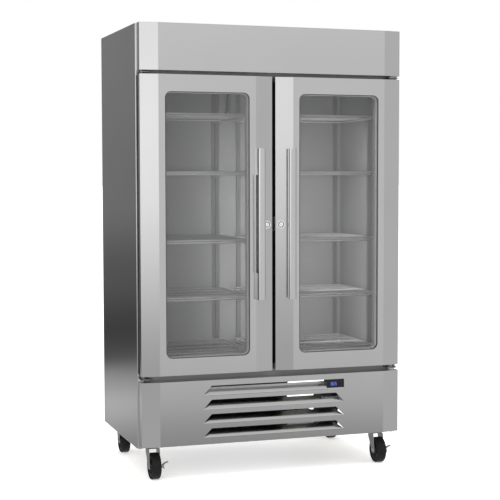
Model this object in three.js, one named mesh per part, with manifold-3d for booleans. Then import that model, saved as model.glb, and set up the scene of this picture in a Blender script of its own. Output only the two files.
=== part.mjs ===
// Two-section glass door merchandiser: a bottom-mount reach-in refrigerator on four casters.
// Millimetres, +Z up. The doors face -Y, and z = 0 is the floor.
// While the pieces are made, y = 0 is the flat front face of the doors; the whole group is then
// shifted along Y so that the origin is the centre of the footprint.
import * as THREE from "three";
import { mergeVertices } from "three/addons/utils/BufferGeometryUtils.js";
import Module from "manifold-3d";

const wasm = await Module();
wasm.setup();

// ---- Driving dimensions ----
const WIDTH = 1321; // over the side panels
const HEIGHT = 2150; // floor to roof
const DEPTH = 847; // door face to the rear panel
const HANDLE_PROUD = 45; // how far the handles stand in front of the doors
const SHEET = 1.2; // gauge of the outer skins
const GAP = 0.3; // gap between pieces that touch

const FACE_HALF_WIDTH = 654.5; // header, doors and lower cover
const BEVEL_WIDTH = 86; // bevelled strip at each outer edge of a front piece
const BEVEL_SETBACK = 15;
const CABINET_FRONT = 77; // y of the cabinet's front frame, behind the doors
const SIDE_BOTTOM = 150;
const LOWER_BOTTOM = 167;
const LOWER_TOP = 474;
const DOOR_BOTTOM = 503;
const DOOR_TOP = 1914;
const HEADER_BOTTOM = 1931;

const DOOR_THICKNESS = 62;
const DOOR_SKIN = 2;
const CENTRE_GAP = 16; // between the two doors
const WINDOW_MARGIN = 117.4; // from a door's side edges to its window
const WINDOW_BOTTOM = 585;
const WINDOW_TOP = 1834;
const WINDOW_RADIUS = 30;
const GLASS_FRONT = 16;
const GLASS_THICKNESS = 14;
const GASKET_WIDTH = 18;
const GASKET_X = [22, 634];
const GASKET_Z = [508, 1912];

const CAVITY_HALF_WIDTH = 612;
const CAVITY_BOTTOM = 530;
const CAVITY_TOP = 1893;
const CAVITY_REAR = 795;
const LINER = 1.2;
const FLANGE_HALF_WIDTH = 629.5; // the liner's front flange, beside the side panels' returns
const FLANGE_LAP = 14; // how far it reaches behind the header and the lower cover
const FOAM_BOTTOM = 478;
const FOAM_TOP = 1955;
const DUCT_FRONT = 690;
const MULLION_HALF_WIDTH = 50;
const MULLION_DEPTH = 50;
const LAMP_BOTTOM = 620;
const LAMP_TOP = 1850;
const LAMP_DEPTH = 16;

const SHELF_TOPS = [587, 857, 1134, 1465, 1745];
const SHELF_FRONT = 168;
const SHELF_REAR = 682;
const SHELF_SPANS = { left: [-604, -60], right: [4, 604] };
const SHELF_RIM = 20; // height of the double-wire rim
const SHELF_WIRE = 6;
const STANDARD_WIDTH = 22; // slotted shelf standards on the rear wall
const STANDARD_DEPTH = 7;
const STANDARD_X = { far_left: -578, centre_left: -85, centre_right: 31.5, far_right: 578 };

const HINGE_X = 640;
const HINGE_Y = 35;
const PIN_RADIUS = 6;
const PIN_CLEARANCE = 0.6;

const HANDLE_BOTTOM = 852;
const HANDLE_TOP = 1572;
const HANDLE_SLOT = [980, 1447];
const HANDLE_SLOT_DEPTH = [-40, -15];
const HANDLE_ROOT_X = 102;
const HANDLE_CORNER_X = 95;
const HANDLE_LIP_X = 60;
const HANDLE_GAUGE = 3;
const HANDLE_LIP_END = -16; // the lip runs back towards the door as far as this

const BEVEL_ANGLE = Math.atan(BEVEL_SETBACK / BEVEL_WIDTH);
const LOCK_X = 35;
const LOCK_Z = 1209;
const LOCK_Y = (BEVEL_SETBACK * (CENTRE_GAP / 2 + BEVEL_WIDTH - LOCK_X)) / BEVEL_WIDTH;
const LOCK_PLUG_RADIUS = 10;
const LOCK_PLUG_PROUD = 3.5;
const LOCK_RING_RADIUS = 16;
const LOCK_RING_PROUD = 2.5;
const LOCK_DEPTH = 26; // how far the plug and its cam reach into the door

// Each louvre: the bottom and the top of its slot.
const LOUVRES = [
  [200, 243],
  [268, 311],
  [335, 380],
  [402, 447],
];
const LOUVRE_HALF_BOTTOM = 359;
const LOUVRE_HALF_TOP = 317;
const LOUVRE_LEAN = 30; // how far the top of a blade leans inwards
const DISPLAY = { x: [272, 359], z: [400, 447], radius: 6 };
const CONTROLLER_FRONT = 5;
const CONTROLLER_REAR = 48;
const BUTTONS = { up: 434, down: 413 };
const BUTTON_X = [339, 350];
const BUTTON_HALF_HEIGHT = 4.5;
const BUTTON_POCKET = 14;
const BUTTON_TRAVEL = 1.5;

const WHEEL_RADIUS = 63.5;
const WHEEL_HALF_WIDTH = 22;
const CASTER_X = 578;
const CASTER_Y = { front: 123, rear: 785 }; // swivel axes
const CASTER_TRAIL = 36; // the wheel sits this far in front of its swivel axis
const AXLE_RADIUS = 6;
const FORK_GAP = 24.5; // half the space between the fork's legs
const FORK_GAUGE = 3;
const CROWN_Z = 143; // underside of the fork's crown
const PLATE_Z = 157.3; // underside of the base frame's caster plates
const PEDAL_HALF_WIDTH = 9.5;

const CONDENSER = { x: [-350, 97], y: [100, 150], z: [186, 456] };
const FAN_RADIUS = 100;
const EVAPORATOR = { x: [-360, 360], y: [712, 780], z: [1480, 1690] };
const EVAPORATOR_FAN = { x: 185, z: 1800, radius: 72 };
const COMPRESSOR = { x: -150, y: 520 };
const COMPRESSOR_WALL = 24; // thicker than the real can, for the motor inside it
const ELECTRICAL_BOX = { x: [262, 350], y: [60, 170], z: [195, 392] };
const GLAND = { x: 480, z: 172 }; // in the rear rail, where a supply cord would enter

const LEFT = -1;
const RIGHT = 1;
const SIDES = { left: LEFT, right: RIGHT };

// ---- Materials ----
const finish = (color, roughness, metalness, opacity = 1) =>
  new THREE.MeshStandardMaterial({ color, roughness, metalness, opacity, transparent: opacity < 1 });
const steel = finish(0xb9bbbd, 0.34, 1);
const linerSteel = finish(0xc6c8c9, 0.5, 0.6);
const foam = finish(0xd9cfa3, 0.9, 0);
const rubber = finish(0x141415, 0.75, 0);
const tyre = finish(0x1c1c1d, 0.6, 0);
const glass = finish(0x9fa5a6, 0.05, 0, 0.35);
const zinc = finish(0x9c9ea1, 0.4, 1);
const blackPlastic = finish(0x111214, 0.35, 0);
const blackPaint = finish(0x1a1b1c, 0.5, 0.2);
const coilMetal = finish(0x2b2320, 0.5, 0.6);
const wire = finish(0x8f9294, 0.35, 0.8);
const lamp = finish(0xf4f6f4, 0.4, 0);

// ---- Solids ----
function solid(geometry) {
  const bare = geometry.clone();
  bare.deleteAttribute("normal");
  bare.deleteAttribute("uv");
  const merged = mergeVertices(bare, 1e-4);
  return new wasm.Manifold(
    new wasm.Mesh({
      numProp: 3,
      vertProperties: merged.attributes.position.array,
      triVerts: new Uint32Array(merged.index.array),
    }),
  );
}

function box([x0, x1], [y0, y1], [z0, z1]) {
  const geometry = new THREE.BoxGeometry(x1 - x0, y1 - y0, z1 - z0);
  geometry.translate((x0 + x1) / 2, (y0 + y1) / 2, (z0 + z1) / 2);
  return solid(geometry);
}

// A cylinder along "x", "y" or "z" from one end to the other, centred on the other two coordinates.
function rod(axis, radius, from, to, [a, b], sides = 24) {
  const geometry = new THREE.CylinderGeometry(radius, radius, to - from, sides);
  const middle = (from + to) / 2;
  if (axis === "x") geometry.rotateZ(-Math.PI / 2).translate(middle, a, b);
  if (axis === "y") geometry.translate(a, middle, b);
  if (axis === "z") geometry.rotateX(Math.PI / 2).translate(a, b, middle);
  return solid(geometry);
}

const outline = (points) => new THREE.Shape(points.map(([u, v]) => new THREE.Vector2(u, v)));

function slab(shape, depth, curveSegments = 6) {
  return new THREE.ExtrudeGeometry(shape, { depth, bevelEnabled: false, curveSegments });
}

// An outline in X and Y, raised from z0 to z1.
const upright = (shape, [z0, z1]) => solid(slab(shape, z1 - z0).translate(0, 0, z0));

// An outline in X and Z, carried along Y from y0 to y1.
const through = (shape, [y0, y1]) => solid(slab(shape, y1 - y0).rotateX(Math.PI / 2).translate(0, y1, 0));

// An outline in Y and Z, carried along X from x0 to x1.
const across = (shape, [x0, x1]) =>
  solid(slab(shape, x1 - x0).rotateX(Math.PI / 2).rotateZ(Math.PI / 2).translate(x0, 0, 0));

function roundedRectangle([x0, x1], [z0, z1], radius) {
  const shape = new THREE.Shape();
  shape.moveTo(x0 + radius, z0);
  shape.lineTo(x1 - radius, z0);
  shape.absarc(x1 - radius, z0 + radius, radius, -Math.PI / 2, 0);
  shape.lineTo(x1, z1 - radius);
  shape.absarc(x1 - radius, z1 - radius, radius, 0, Math.PI / 2);
  shape.lineTo(x0 + radius, z1);
  shape.absarc(x0 + radius, z1 - radius, radius, Math.PI / 2, Math.PI);
  shape.lineTo(x0, z0 + radius);
  shape.absarc(x0 + radius, z0 + radius, radius, Math.PI, (3 * Math.PI) / 2);
  return shape;
}

const join = (...pieces) => pieces.reduce((whole, piece) => whole.add(piece));
const cut = (whole, ...tools) => tools.reduce((left, tool) => left.subtract(tool), whole);
const grow = ([low, high], by) => [low - by, high + by];
const mirrorX = (piece) => piece.mirror([1, 0, 0]);
const onSide = (side, piece) => (side === LEFT ? mirrorX(piece) : piece);

// ---- The assembly ----
const merchandiser = new THREE.Group();
merchandiser.position.y = -(DEPTH - HANDLE_PROUD) / 2;

function place(name, manifold, material) {
  const { vertProperties, triVerts } = manifold.getMesh();
  const geometry = new THREE.BufferGeometry();
  geometry.setAttribute("position", new THREE.BufferAttribute(vertProperties, 3));
  geometry.setIndex(new THREE.BufferAttribute(triVerts, 1));
  geometry.computeVertexNormals();
  const mesh = new THREE.Mesh(geometry, material);
  mesh.name = name;
  merchandiser.add(mesh);
}

// ---- Front covers ----
// The plan outline of a front piece that is bevelled at both ends; "inset" shrinks it by a skin.
function frontOutline([x0, x1], rear, inset) {
  const slope = BEVEL_SETBACK / BEVEL_WIDTH;
  const corner = inset * slope;
  return outline([
    [x0 + inset, rear],
    [x0 + inset, BEVEL_SETBACK + inset - corner],
    [x0 + BEVEL_WIDTH, inset],
    [x1 - BEVEL_WIDTH, inset],
    [x1 - inset, BEVEL_SETBACK + inset - corner],
    [x1 - inset, rear],
  ]);
}

// A folded cover, open at the back.
function cover(span) {
  const ends = [-FACE_HALF_WIDTH, FACE_HALF_WIDTH];
  const rear = CABINET_FRONT - GAP;
  const outside = upright(frontOutline(ends, rear, 0), span);
  const inside = upright(frontOutline(ends, rear + 1, SHEET), grow(span, -SHEET));
  return cut(outside, inside);
}

place("header_panel", cover([HEADER_BOTTOM, HEIGHT]), steel);

function louvreOpening([bottom, top]) {
  const shape = outline([
    [-LOUVRE_HALF_BOTTOM, bottom],
    [LOUVRE_HALF_BOTTOM, bottom],
    [LOUVRE_HALF_TOP, top],
    [-LOUVRE_HALF_TOP, top],
  ]);
  return through(shape, [-1, SHEET + 1]);
}

// The lanced blade: the slot's own metal, folded in along the bottom edge.
function louvreBlade([bottom, top]) {
  const rise = Math.sqrt((top - bottom) ** 2 - LOUVRE_LEAN ** 2);
  const section = outline([
    [SHEET - 0.2, bottom - 1],
    [SHEET - 0.2, bottom + 1],
    [LOUVRE_LEAN, bottom + rise],
    [LOUVRE_LEAN + SHEET, bottom + rise],
    [SHEET + 1.2, bottom - 1],
  ]);
  const sides = outline([
    [-LOUVRE_HALF_BOTTOM, bottom - 2],
    [LOUVRE_HALF_BOTTOM, bottom - 2],
    [LOUVRE_HALF_TOP, bottom + rise + 1],
    [-LOUVRE_HALF_TOP, bottom + rise + 1],
  ]);
  return across(section, [-LOUVRE_HALF_BOTTOM, LOUVRE_HALF_BOTTOM]).intersect(through(sides, [0, 60]));
}

function lowerCover() {
  const displayHole = through(roundedRectangle(DISPLAY.x, DISPLAY.z, DISPLAY.radius), [-1, SHEET + 1]);
  const displayRoom = box(grow(DISPLAY.x, 3), [SHEET, 60], grow(DISPLAY.z, 3));
  const slots = LOUVRES.map(louvreOpening);
  const blades = LOUVRES.map(louvreBlade).map((blade) => cut(blade, displayRoom));
  return join(cut(cover([LOWER_BOTTOM, LOWER_TOP]), ...slots, displayHole), ...blades);
}

place("lower_panel", lowerCover(), steel);

// ---- Outer skins ----
function sidePanel(side) {
  const x = WIDTH / 2;
  const inner = FLANGE_HALF_WIDTH + GAP;
  const front = CABINET_FRONT;
  const shape = outline([
    [x, front],
    [x, DEPTH],
    [x - SHEET, DEPTH],
    [x - SHEET, front + SHEET],
    [inner, front + SHEET],
    [inner, front],
  ]);
  return onSide(side, upright(shape, [SIDE_BOTTOM, HEIGHT]));
}

place("side_panel_left", sidePanel(LEFT), steel);
place("side_panel_right", sidePanel(RIGHT), steel);

const SKIN_HALF_WIDTH = WIDTH / 2 - SHEET - GAP;
const SKIN_FRONT = CABINET_FRONT + SHEET + GAP;

// The roof folds down at the front and the rear.
const roof = cut(
  box([-SKIN_HALF_WIDTH, SKIN_HALF_WIDTH], [SKIN_FRONT, DEPTH - SHEET - GAP], [HEIGHT - 25, HEIGHT]),
  box([-WIDTH, WIDTH], [SKIN_FRONT + SHEET, DEPTH - 2 * SHEET - GAP], [HEIGHT - 30, HEIGHT - SHEET]),
);
place("roof_panel", roof, steel);
place(
  "rear_panel",
  box([-SKIN_HALF_WIDTH, SKIN_HALF_WIDTH], [DEPTH - SHEET, DEPTH], [LOWER_TOP, HEIGHT]),
  steel,
);

// ---- Insulated body ----
const cavity = (extra) =>
  box(
    grow([-CAVITY_HALF_WIDTH, CAVITY_HALF_WIDTH], extra),
    [0, CAVITY_REAR + extra],
    grow([CAVITY_BOTTOM, CAVITY_TOP], extra),
  );
const foamBlock = box(
  [-SKIN_HALF_WIDTH, SKIN_HALF_WIDTH],
  [SKIN_FRONT, DEPTH - SHEET - GAP],
  [FOAM_BOTTOM, FOAM_TOP],
);
place("foam_insulation", cut(foamBlock, cavity(LINER + GAP)), foam);

const linerFlange = box(
  [-FLANGE_HALF_WIDTH, FLANGE_HALF_WIDTH],
  [CABINET_FRONT, CABINET_FRONT + SHEET],
  [LOWER_TOP - FLANGE_LAP, HEADER_BOTTOM + FLANGE_LAP],
);
const linerBox = cavity(LINER).intersect(box([-WIDTH, WIDTH], [CABINET_FRONT, DEPTH], [0, HEIGHT]));
place("inner_liner", cut(join(linerFlange, linerBox), cavity(0)), linerSteel);

place(
  "centre_mullion",
  box(
    [-MULLION_HALF_WIDTH, MULLION_HALF_WIDTH],
    [CABINET_FRONT, CABINET_FRONT + MULLION_DEPTH],
    grow([CAVITY_BOTTOM, CAVITY_TOP], -GAP),
  ),
  linerSteel,
);
const LAMP_FRONT = CABINET_FRONT + MULLION_DEPTH + GAP;
const lampOutline = outline([
  [-LAMP_DEPTH, LAMP_FRONT],
  [LAMP_DEPTH, LAMP_FRONT],
  [10, LAMP_FRONT + LAMP_DEPTH],
  [-10, LAMP_FRONT + LAMP_DEPTH],
]);
place("light_bar", upright(lampOutline, [LAMP_BOTTOM, LAMP_TOP]), lamp);

// ---- Rear air duct, coil and fan ----
function ductPanel() {
  const end = CAVITY_HALF_WIDTH - GAP;
  const rear = CAVITY_REAR - GAP;
  const shape = outline([
    [-end, rear],
    [-end, DUCT_FRONT],
    [end, DUCT_FRONT],
    [end, rear],
    [end - SHEET, rear],
    [end - SHEET, DUCT_FRONT + SHEET],
    [SHEET - end, DUCT_FRONT + SHEET],
    [SHEET - end, rear],
  ]);
  const panel = upright(shape, grow([CAVITY_BOTTOM, CAVITY_TOP], -GAP));
  const { x, z, radius } = EVAPORATOR_FAN;
  const intake = rod("y", radius + 6, DUCT_FRONT - 5, DUCT_FRONT + 10, [x, z], 32);
  const outlets = [-420, -300, 180, 300, 420].map((centre) =>
    box([centre - 45, centre + 45], [DUCT_FRONT - 5, DUCT_FRONT + 10], [545, 561]),
  );
  const drive = motor({ ...EVAPORATOR_FAN, front: DUCT_FRONT + 12, reach: radius + 14 });
  const posts = [-1, 1].map((side) => {
    const post = x + side * (radius + 11);
    return box([post - 5, post + 5], [DUCT_FRONT + 0.6, DUCT_FRONT + 64], [z - 10, z + 10]);
  });
  return join(cut(panel, intake, ...outlets), drive, ...posts);
}

// A finned coil: a block with deep grooves in its front face, and a pipe loop at each end.
function finnedCoil({ x, y, z }, pitch, grooveDepth) {
  const grooves = [];
  for (let at = x[0] + pitch * 0.3; at < x[1] - pitch; at += pitch) {
    grooves.push(box([at, at + pitch * 0.7], [y[0] - 1, y[0] + grooveDepth], grow(z, -6)));
  }
  const depth = (y[0] + y[1]) / 2;
  const rows = 4;
  const rise = (z[1] - z[0]) / rows;
  const bends = [];
  for (let row = 0; row < rows; row += 1) {
    const centre = z[0] + rise * (row + 0.5);
    const bend = rod("y", rise * 0.3, depth - 5, depth + 5, [x[0], centre], 16);
    bends.push(cut(bend, rod("y", rise * 0.15, depth - 9, depth + 9, [x[0] - 4, centre], 12)));
  }
  return cut(join(box(x, y, z), ...bends), ...grooves);
}

place("evaporator_coil", finnedCoil(EVAPORATOR, 18, 60), zinc);

// A bladed rotor on an axis along Y; its hub's rear face has a blind bore for the motor shaft.
function rotor({ x, z, radius, front, blades }) {
  const hub = rod("y", radius * 0.25, front, front + 24, [x, z]);
  const vanes = [];
  for (let index = 0; index < blades; index += 1) {
    const vane = new THREE.BoxGeometry(radius * 0.5, 2.5, radius * 0.8);
    vane.rotateZ(0.5).translate(0, front + 12, radius * 0.58);
    vane.rotateY((index * 2 * Math.PI) / blades).translate(x, 0, z);
    vanes.push(solid(vane));
  }
  const disc = rod("y", radius, front - 30, front + 60, [x, z], 32);
  const bore = rod("y", 4.5, front + 8, front + 25, [x, z]);
  return cut(join(hub, ...vanes).intersect(disc), bore);
}

// A motor on a bracket of two arms, whose shaft ends inside the rotor's bore.
function motor({ x, z, radius, front, reach }) {
  const can = rod("y", radius * 0.32, front + 30, front + 70, [x, z]);
  const shaft = rod("y", 4, front + 10, front + 32, [x, z]);
  const arm = box([x - reach, x + reach], [front + 46, front + 50], [z - 9, z + 9]);
  return join(can, shaft, arm);
}

place("rear_duct_panel", ductPanel(), linerSteel);
place("evaporator_fan", rotor({ ...EVAPORATOR_FAN, front: DUCT_FRONT + 12, blades: 4 }), blackPlastic);

// ---- Shelf standards and shelves ----
function standard(x) {
  const ends = [x - STANDARD_WIDTH / 2, x + STANDARD_WIDTH / 2];
  const front = DUCT_FRONT - STANDARD_DEPTH;
  const strip = box(ends, [front, DUCT_FRONT - GAP], [CAVITY_BOTTOM + 10, CAVITY_TOP - 20]);
  const slots = [];
  for (let z = CAVITY_BOTTOM + 40; z < CAVITY_TOP - 40; z += 75) {
    slots.push(box([x - 3, x + 3], [front - 1, front + 3], [z, z + 25]));
  }
  return cut(strip, ...slots);
}

for (const [name, x] of Object.entries(STANDARD_X)) {
  place(`shelf_standard_${name}`, standard(x), linerSteel);
}

function shelf([x0, x1], top) {
  const rim = cut(
    box([x0, x1], [SHELF_FRONT, SHELF_REAR - STANDARD_DEPTH], [top - SHELF_RIM, top]),
    box(
      grow([x0, x1], -SHELF_WIRE),
      [SHELF_FRONT + SHELF_WIRE, SHELF_REAR - STANDARD_DEPTH - SHELF_WIRE],
      [top - SHELF_RIM - 1, top + 1],
    ),
  );
  const bars = [];
  const pitch = (x1 - x0) / 10;
  for (let index = 1; index < 10; index += 1) {
    const x = x0 + index * pitch;
    bars.push(
      box([x - 2.5, x + 2.5], [SHELF_FRONT + 1, SHELF_REAR - STANDARD_DEPTH - 1], [top - 5, top - 0.5]),
    );
  }
  return join(rim, ...bars);
}

for (const [section, span] of Object.entries(SHELF_SPANS)) {
  SHELF_TOPS.forEach((top, level) => place(`shelf_${section}_${level + 1}`, shelf(span, top), wire));
}

// ---- Doors, made for the right side and mirrored for the left ----
const DOOR_X = [CENTRE_GAP / 2, FACE_HALF_WIDTH];
const DOOR_Z = [DOOR_BOTTOM, DOOR_TOP];
const WINDOW_X = grow(DOOR_X, -WINDOW_MARGIN);
const WINDOW_Z = [WINDOW_BOTTOM, WINDOW_TOP];

// Turns a piece made at the origin to stand square on the door's inner bevel, at the lock.
const atLock = (piece) =>
  piece.rotate([0, 0, (-BEVEL_ANGLE * 180) / Math.PI]).translate([LOCK_X, LOCK_Y, LOCK_Z]);
const lockRod = (radius, from, to) => atLock(rod("y", radius, from, to, [0, 0], 32));

function doorFrame() {
  const outside = upright(frontOutline(DOOR_X, DOOR_THICKNESS, 0), DOOR_Z);
  const hollowPlan = frontOutline(DOOR_X, DOOR_THICKNESS - DOOR_SKIN, DOOR_SKIN);
  const hollow = upright(hollowPlan, grow(DOOR_Z, -DOOR_SKIN));
  const windowShape = (extra) =>
    through(
      roundedRectangle(grow(WINDOW_X, extra), grow(WINDOW_Z, extra), WINDOW_RADIUS + extra),
      [-1, DOOR_THICKNESS + 1],
    );
  const shell = cut(outside, cut(hollow, windowShape(DOOR_SKIN)), windowShape(0));
  const pinRoom = rod("z", PIN_RADIUS + PIN_CLEARANCE, DOOR_BOTTOM - 1, DOOR_TOP + 1, [HINGE_X, HINGE_Y]);
  const drain = box([60, 120], [20, 30], [DOOR_BOTTOM - 1, DOOR_BOTTOM + DOOR_SKIN + 1]);
  const ring = lockRod(LOCK_RING_RADIUS, -LOCK_RING_PROUD, 1);
  const keyway = lockRod(LOCK_PLUG_RADIUS + 0.5, -3, DOOR_SKIN + 1);
  return cut(join(shell, ring), pinRoom, drain, keyway);
}

const doorGlass = () =>
  through(
    roundedRectangle(grow(WINDOW_X, -GAP), grow(WINDOW_Z, -GAP), WINDOW_RADIUS - GAP),
    [GLASS_FRONT, GLASS_FRONT + GLASS_THICKNESS],
  );

function doorGasket() {
  const y = [DOOR_THICKNESS + GAP, CABINET_FRONT - GAP];
  const opening = box(grow(GASKET_X, -GASKET_WIDTH), [0, CABINET_FRONT + 5], grow(GASKET_Z, -GASKET_WIDTH));
  return cut(box(GASKET_X, y, GASKET_Z), opening);
}

// A channel section: the web stands on the door beside the window, the grip runs towards the
// middle of the cabinet, and a lip runs back towards the door. The web is slotted for the fingers.
function doorHandle() {
  const root = HANDLE_ROOT_X;
  const corner = HANDLE_CORNER_X;
  const lip = HANDLE_LIP_X;
  const front = -HANDLE_PROUD;
  const gauge = HANDLE_GAUGE;
  const shape = outline([
    [root, -GAP],
    [corner, front + 5],
    [corner - 4, front],
    [lip + 5, front + 3],
    [lip, front + 9],
    [lip, HANDLE_LIP_END],
    [lip + gauge, HANDLE_LIP_END],
    [lip + gauge, front + 10],
    [lip + 6, front + gauge + 3],
    [corner - 5, front + gauge],
    [corner - gauge, front + 6],
    [root - gauge - 1, -GAP - gauge],
    [root - 18, -GAP - gauge],
    [root - 18, -GAP],
  ]);
  const finger = box([corner - 12, root + 5], HANDLE_SLOT_DEPTH, HANDLE_SLOT);
  const beyondBevel = upright(
    outline([
      [DOOR_X[0] + BEVEL_WIDTH, -GAP],
      [DOOR_X[0] + BEVEL_WIDTH, 5],
      [root + 20, 5],
      [root + 20, -GAP],
    ]),
    [HANDLE_BOTTOM - 1, HANDLE_TOP + 1],
  );
  return cut(upright(shape, [HANDLE_BOTTOM, HANDLE_TOP]), finger, beyondBevel);
}

// A key plug with a cam inside the hollow door.
function lockPlug() {
  const key = atLock(box([-1, 1], [-5, -1.5], [-5, 5]));
  const cam = atLock(box([-5, 5], [LOCK_DEPTH - 3, LOCK_DEPTH], [-5, 22]));
  return join(cut(lockRod(LOCK_PLUG_RADIUS, -LOCK_PLUG_PROUD, LOCK_DEPTH), key), cam);
}

for (const [name, side] of Object.entries(SIDES)) {
  place(`${name}_door_frame`, onSide(side, doorFrame()), steel);
  place(`${name}_door_glass`, onSide(side, doorGlass()), glass);
  place(`${name}_door_gasket`, onSide(side, doorGasket()), rubber);
  place(`${name}_door_handle`, onSide(side, doorHandle()), steel);
  place(`${name}_lock_plug`, onSide(side, lockPlug()), zinc);
}

// ---- Hinge brackets ----
function hingeBracket(plateZ, pinZ) {
  const plate = box([HINGE_X - 40, HINGE_X + 12], [HINGE_Y - 13, CABINET_FRONT - GAP], plateZ);
  return join(plate, rod("z", PIN_RADIUS, pinZ[0], pinZ[1], [HINGE_X, HINGE_Y]));
}

for (const [name, side] of Object.entries(SIDES)) {
  const above = hingeBracket([DOOR_TOP + 6, DOOR_TOP + 12], [DOOR_TOP - 30, DOOR_TOP + 8]);
  const below = hingeBracket([LOWER_TOP + 10, LOWER_TOP + 16], [LOWER_TOP + 12, DOOR_BOTTOM + 30]);
  place(`top_hinge_${name}`, onSide(side, above), zinc);
  place(`bottom_hinge_${name}`, onSide(side, below), zinc);
}

// ---- Base frame: rails round the bottom, cross members, caster plates and a tray ----
function baseFrame() {
  const x = SKIN_HALF_WIDTH - 2;
  const y = [SKIN_FRONT + 3, DEPTH - 5];
  const rails = cut(
    box([-x, x], y, [PLATE_Z + 3, 185]),
    box([-x + 30, x - 30], grow(y, -30), [0, 300]),
    box([-x + 3, x - 3], grow(y, -3), [PLATE_Z + 6, 200]),
  );
  const lips = [-x, x - 3].map((start) => box([start, start + 3], y, [180, FOAM_BOTTOM - GAP]));
  const crossMembers = [-400, 140, 400].map((centre) =>
    box([centre - 20, centre + 20], grow(y, -2), [PLATE_Z + 3, PLATE_Z + 6]),
  );
  const tray = box([-400, 140], [95, 800], [PLATE_Z + 5, PLATE_Z + 8]);
  const plates = [];
  for (const side of [LEFT, RIGHT]) {
    for (const axisY of Object.values(CASTER_Y)) {
      const centre = side * CASTER_X;
      plates.push(box([centre - 48, centre + 48], [axisY - 45, axisY + 55], [PLATE_Z, PLATE_Z + 4]));
    }
  }
  const gland = join(
    rod("y", 11, DEPTH - 9, DEPTH - 1, [GLAND.x, GLAND.z], 6),
    rod("y", 8, DEPTH - 16, DEPTH - 4, [GLAND.x, GLAND.z]),
  );
  return join(rails, ...lips, ...crossMembers, tray, ...plates, gland);
}

place("base_frame", baseFrame(), zinc);

// ---- Casters ----
// The fork's leg, seen from the side: wide at the crown, round at the axle.
function forkLeg(swivelY) {
  const axleY = swivelY - CASTER_TRAIL;
  const shape = new THREE.Shape();
  shape.moveTo(swivelY + 26, CROWN_Z + 1);
  shape.lineTo(swivelY - 30, CROWN_Z + 1);
  shape.lineTo(axleY - 14, WHEEL_RADIUS + 4);
  shape.absarc(axleY, WHEEL_RADIUS, 15, Math.PI * 0.93, Math.PI * 1.85, false);
  shape.lineTo(swivelY + 26, CROWN_Z - 18);
  return shape;
}

function casterFork(x, swivelY, braked) {
  const axleY = swivelY - CASTER_TRAIL;
  const outer = FORK_GAP + FORK_GAUGE;
  const legs = [x - outer, x + FORK_GAP].map((start) =>
    across(forkLeg(swivelY), [start, start + FORK_GAUGE]),
  );
  const crown = box([x - outer, x + outer], [swivelY - 30, swivelY + 26], [CROWN_Z, CROWN_Z + FORK_GAUGE]);
  const raceway = rod("z", 24, CROWN_Z + 1, PLATE_Z - GAP, [x, swivelY], 32);
  const axle = rod("x", AXLE_RADIUS, x - outer - 5, x + outer + 5, [axleY, WHEEL_RADIUS]);
  const nuts = [x - outer - 5, x + outer - 1].map((start) =>
    rod("x", 10, start, start + 6, [axleY, WHEEL_RADIUS], 6),
  );
  const parts = [...legs, crown, raceway, axle, ...nuts];
  if (braked) {
    const pivot = pedalPivot(x);
    for (const start of [axleY - PEDAL_HALF_WIDTH - 4.3, axleY + PEDAL_HALF_WIDTH + 0.3]) {
      parts.push(box([x + outer - 1, pivot.x + 6], [start, start + 4], grow([pivot.z, pivot.z], 6)));
    }
    const reach = PEDAL_HALF_WIDTH + 4;
    parts.push(rod("y", 2.5, axleY - reach, axleY + reach, [pivot.x, pivot.z], 16));
  }
  return join(...parts);
}

const pedalPivot = (x) => ({ x: x + FORK_GAP + FORK_GAUGE + 12, z: 58 });

// The side brake: an arm that rises away from the fork to a foot pad, with a release toe below.
function brakePedal(x, swivelY) {
  const axleY = swivelY - CASTER_TRAIL;
  const pivot = pedalPivot(x);
  const width = grow([axleY, axleY], PEDAL_HALF_WIDTH);
  const hub = rod("y", 6, width[0], width[1], [pivot.x, pivot.z], 20);
  const shape = outline([
    [pivot.x - 4, pivot.z + 3],
    [pivot.x + 11, pivot.z + 18],
    [pivot.x + 29, pivot.z + 22],
    [pivot.x + 29, pivot.z + 18.5],
    [pivot.x + 13, pivot.z + 14],
    [pivot.x + 5, pivot.z + 1],
    [pivot.x + 12, pivot.z - 12],
    [pivot.x + 9, pivot.z - 14],
    [pivot.x, pivot.z - 5],
  ]);
  const arm = through(shape, width);
  return cut(join(hub, arm), rod("y", 3, axleY - 20, axleY + 20, [pivot.x, pivot.z], 20));
}

// A solid tyre on a hub, with the sides dished between hub and tread.
function casterWheel(x, swivelY) {
  const half = WHEEL_HALF_WIDTH;
  const bore = AXLE_RADIUS + 0.5;
  const profile = [
    [bore, -half - 2],
    [14, -half - 2],
    [16, -half + 4],
    [44, -half + 4],
    [50, -half],
    [59, -half],
    [WHEEL_RADIUS, -half + 5],
    [WHEEL_RADIUS, half - 5],
    [59, half],
    [50, half],
    [44, half - 4],
    [16, half - 4],
    [14, half + 2],
    [bore, half + 2],
    [bore, -half - 2],
  ].map(([radius, along]) => new THREE.Vector2(radius, along));
  const geometry = new THREE.LatheGeometry(profile, 32);
  geometry.rotateZ(-Math.PI / 2).translate(x, swivelY - CASTER_TRAIL, WHEEL_RADIUS);
  return solid(geometry);
}

for (const [sideName, side] of Object.entries(SIDES)) {
  for (const [endName, swivelY] of Object.entries(CASTER_Y)) {
    const name = `${endName}_${sideName}`;
    const x = side * CASTER_X;
    const braked = endName === "front";
    place(`caster_fork_${name}`, casterFork(x, swivelY, braked), zinc);
    place(`caster_wheel_${name}`, casterWheel(x, swivelY), tyre);
    if (braked) place(`brake_pedal_${name}`, brakePedal(x, swivelY), zinc);
  }
}

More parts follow.
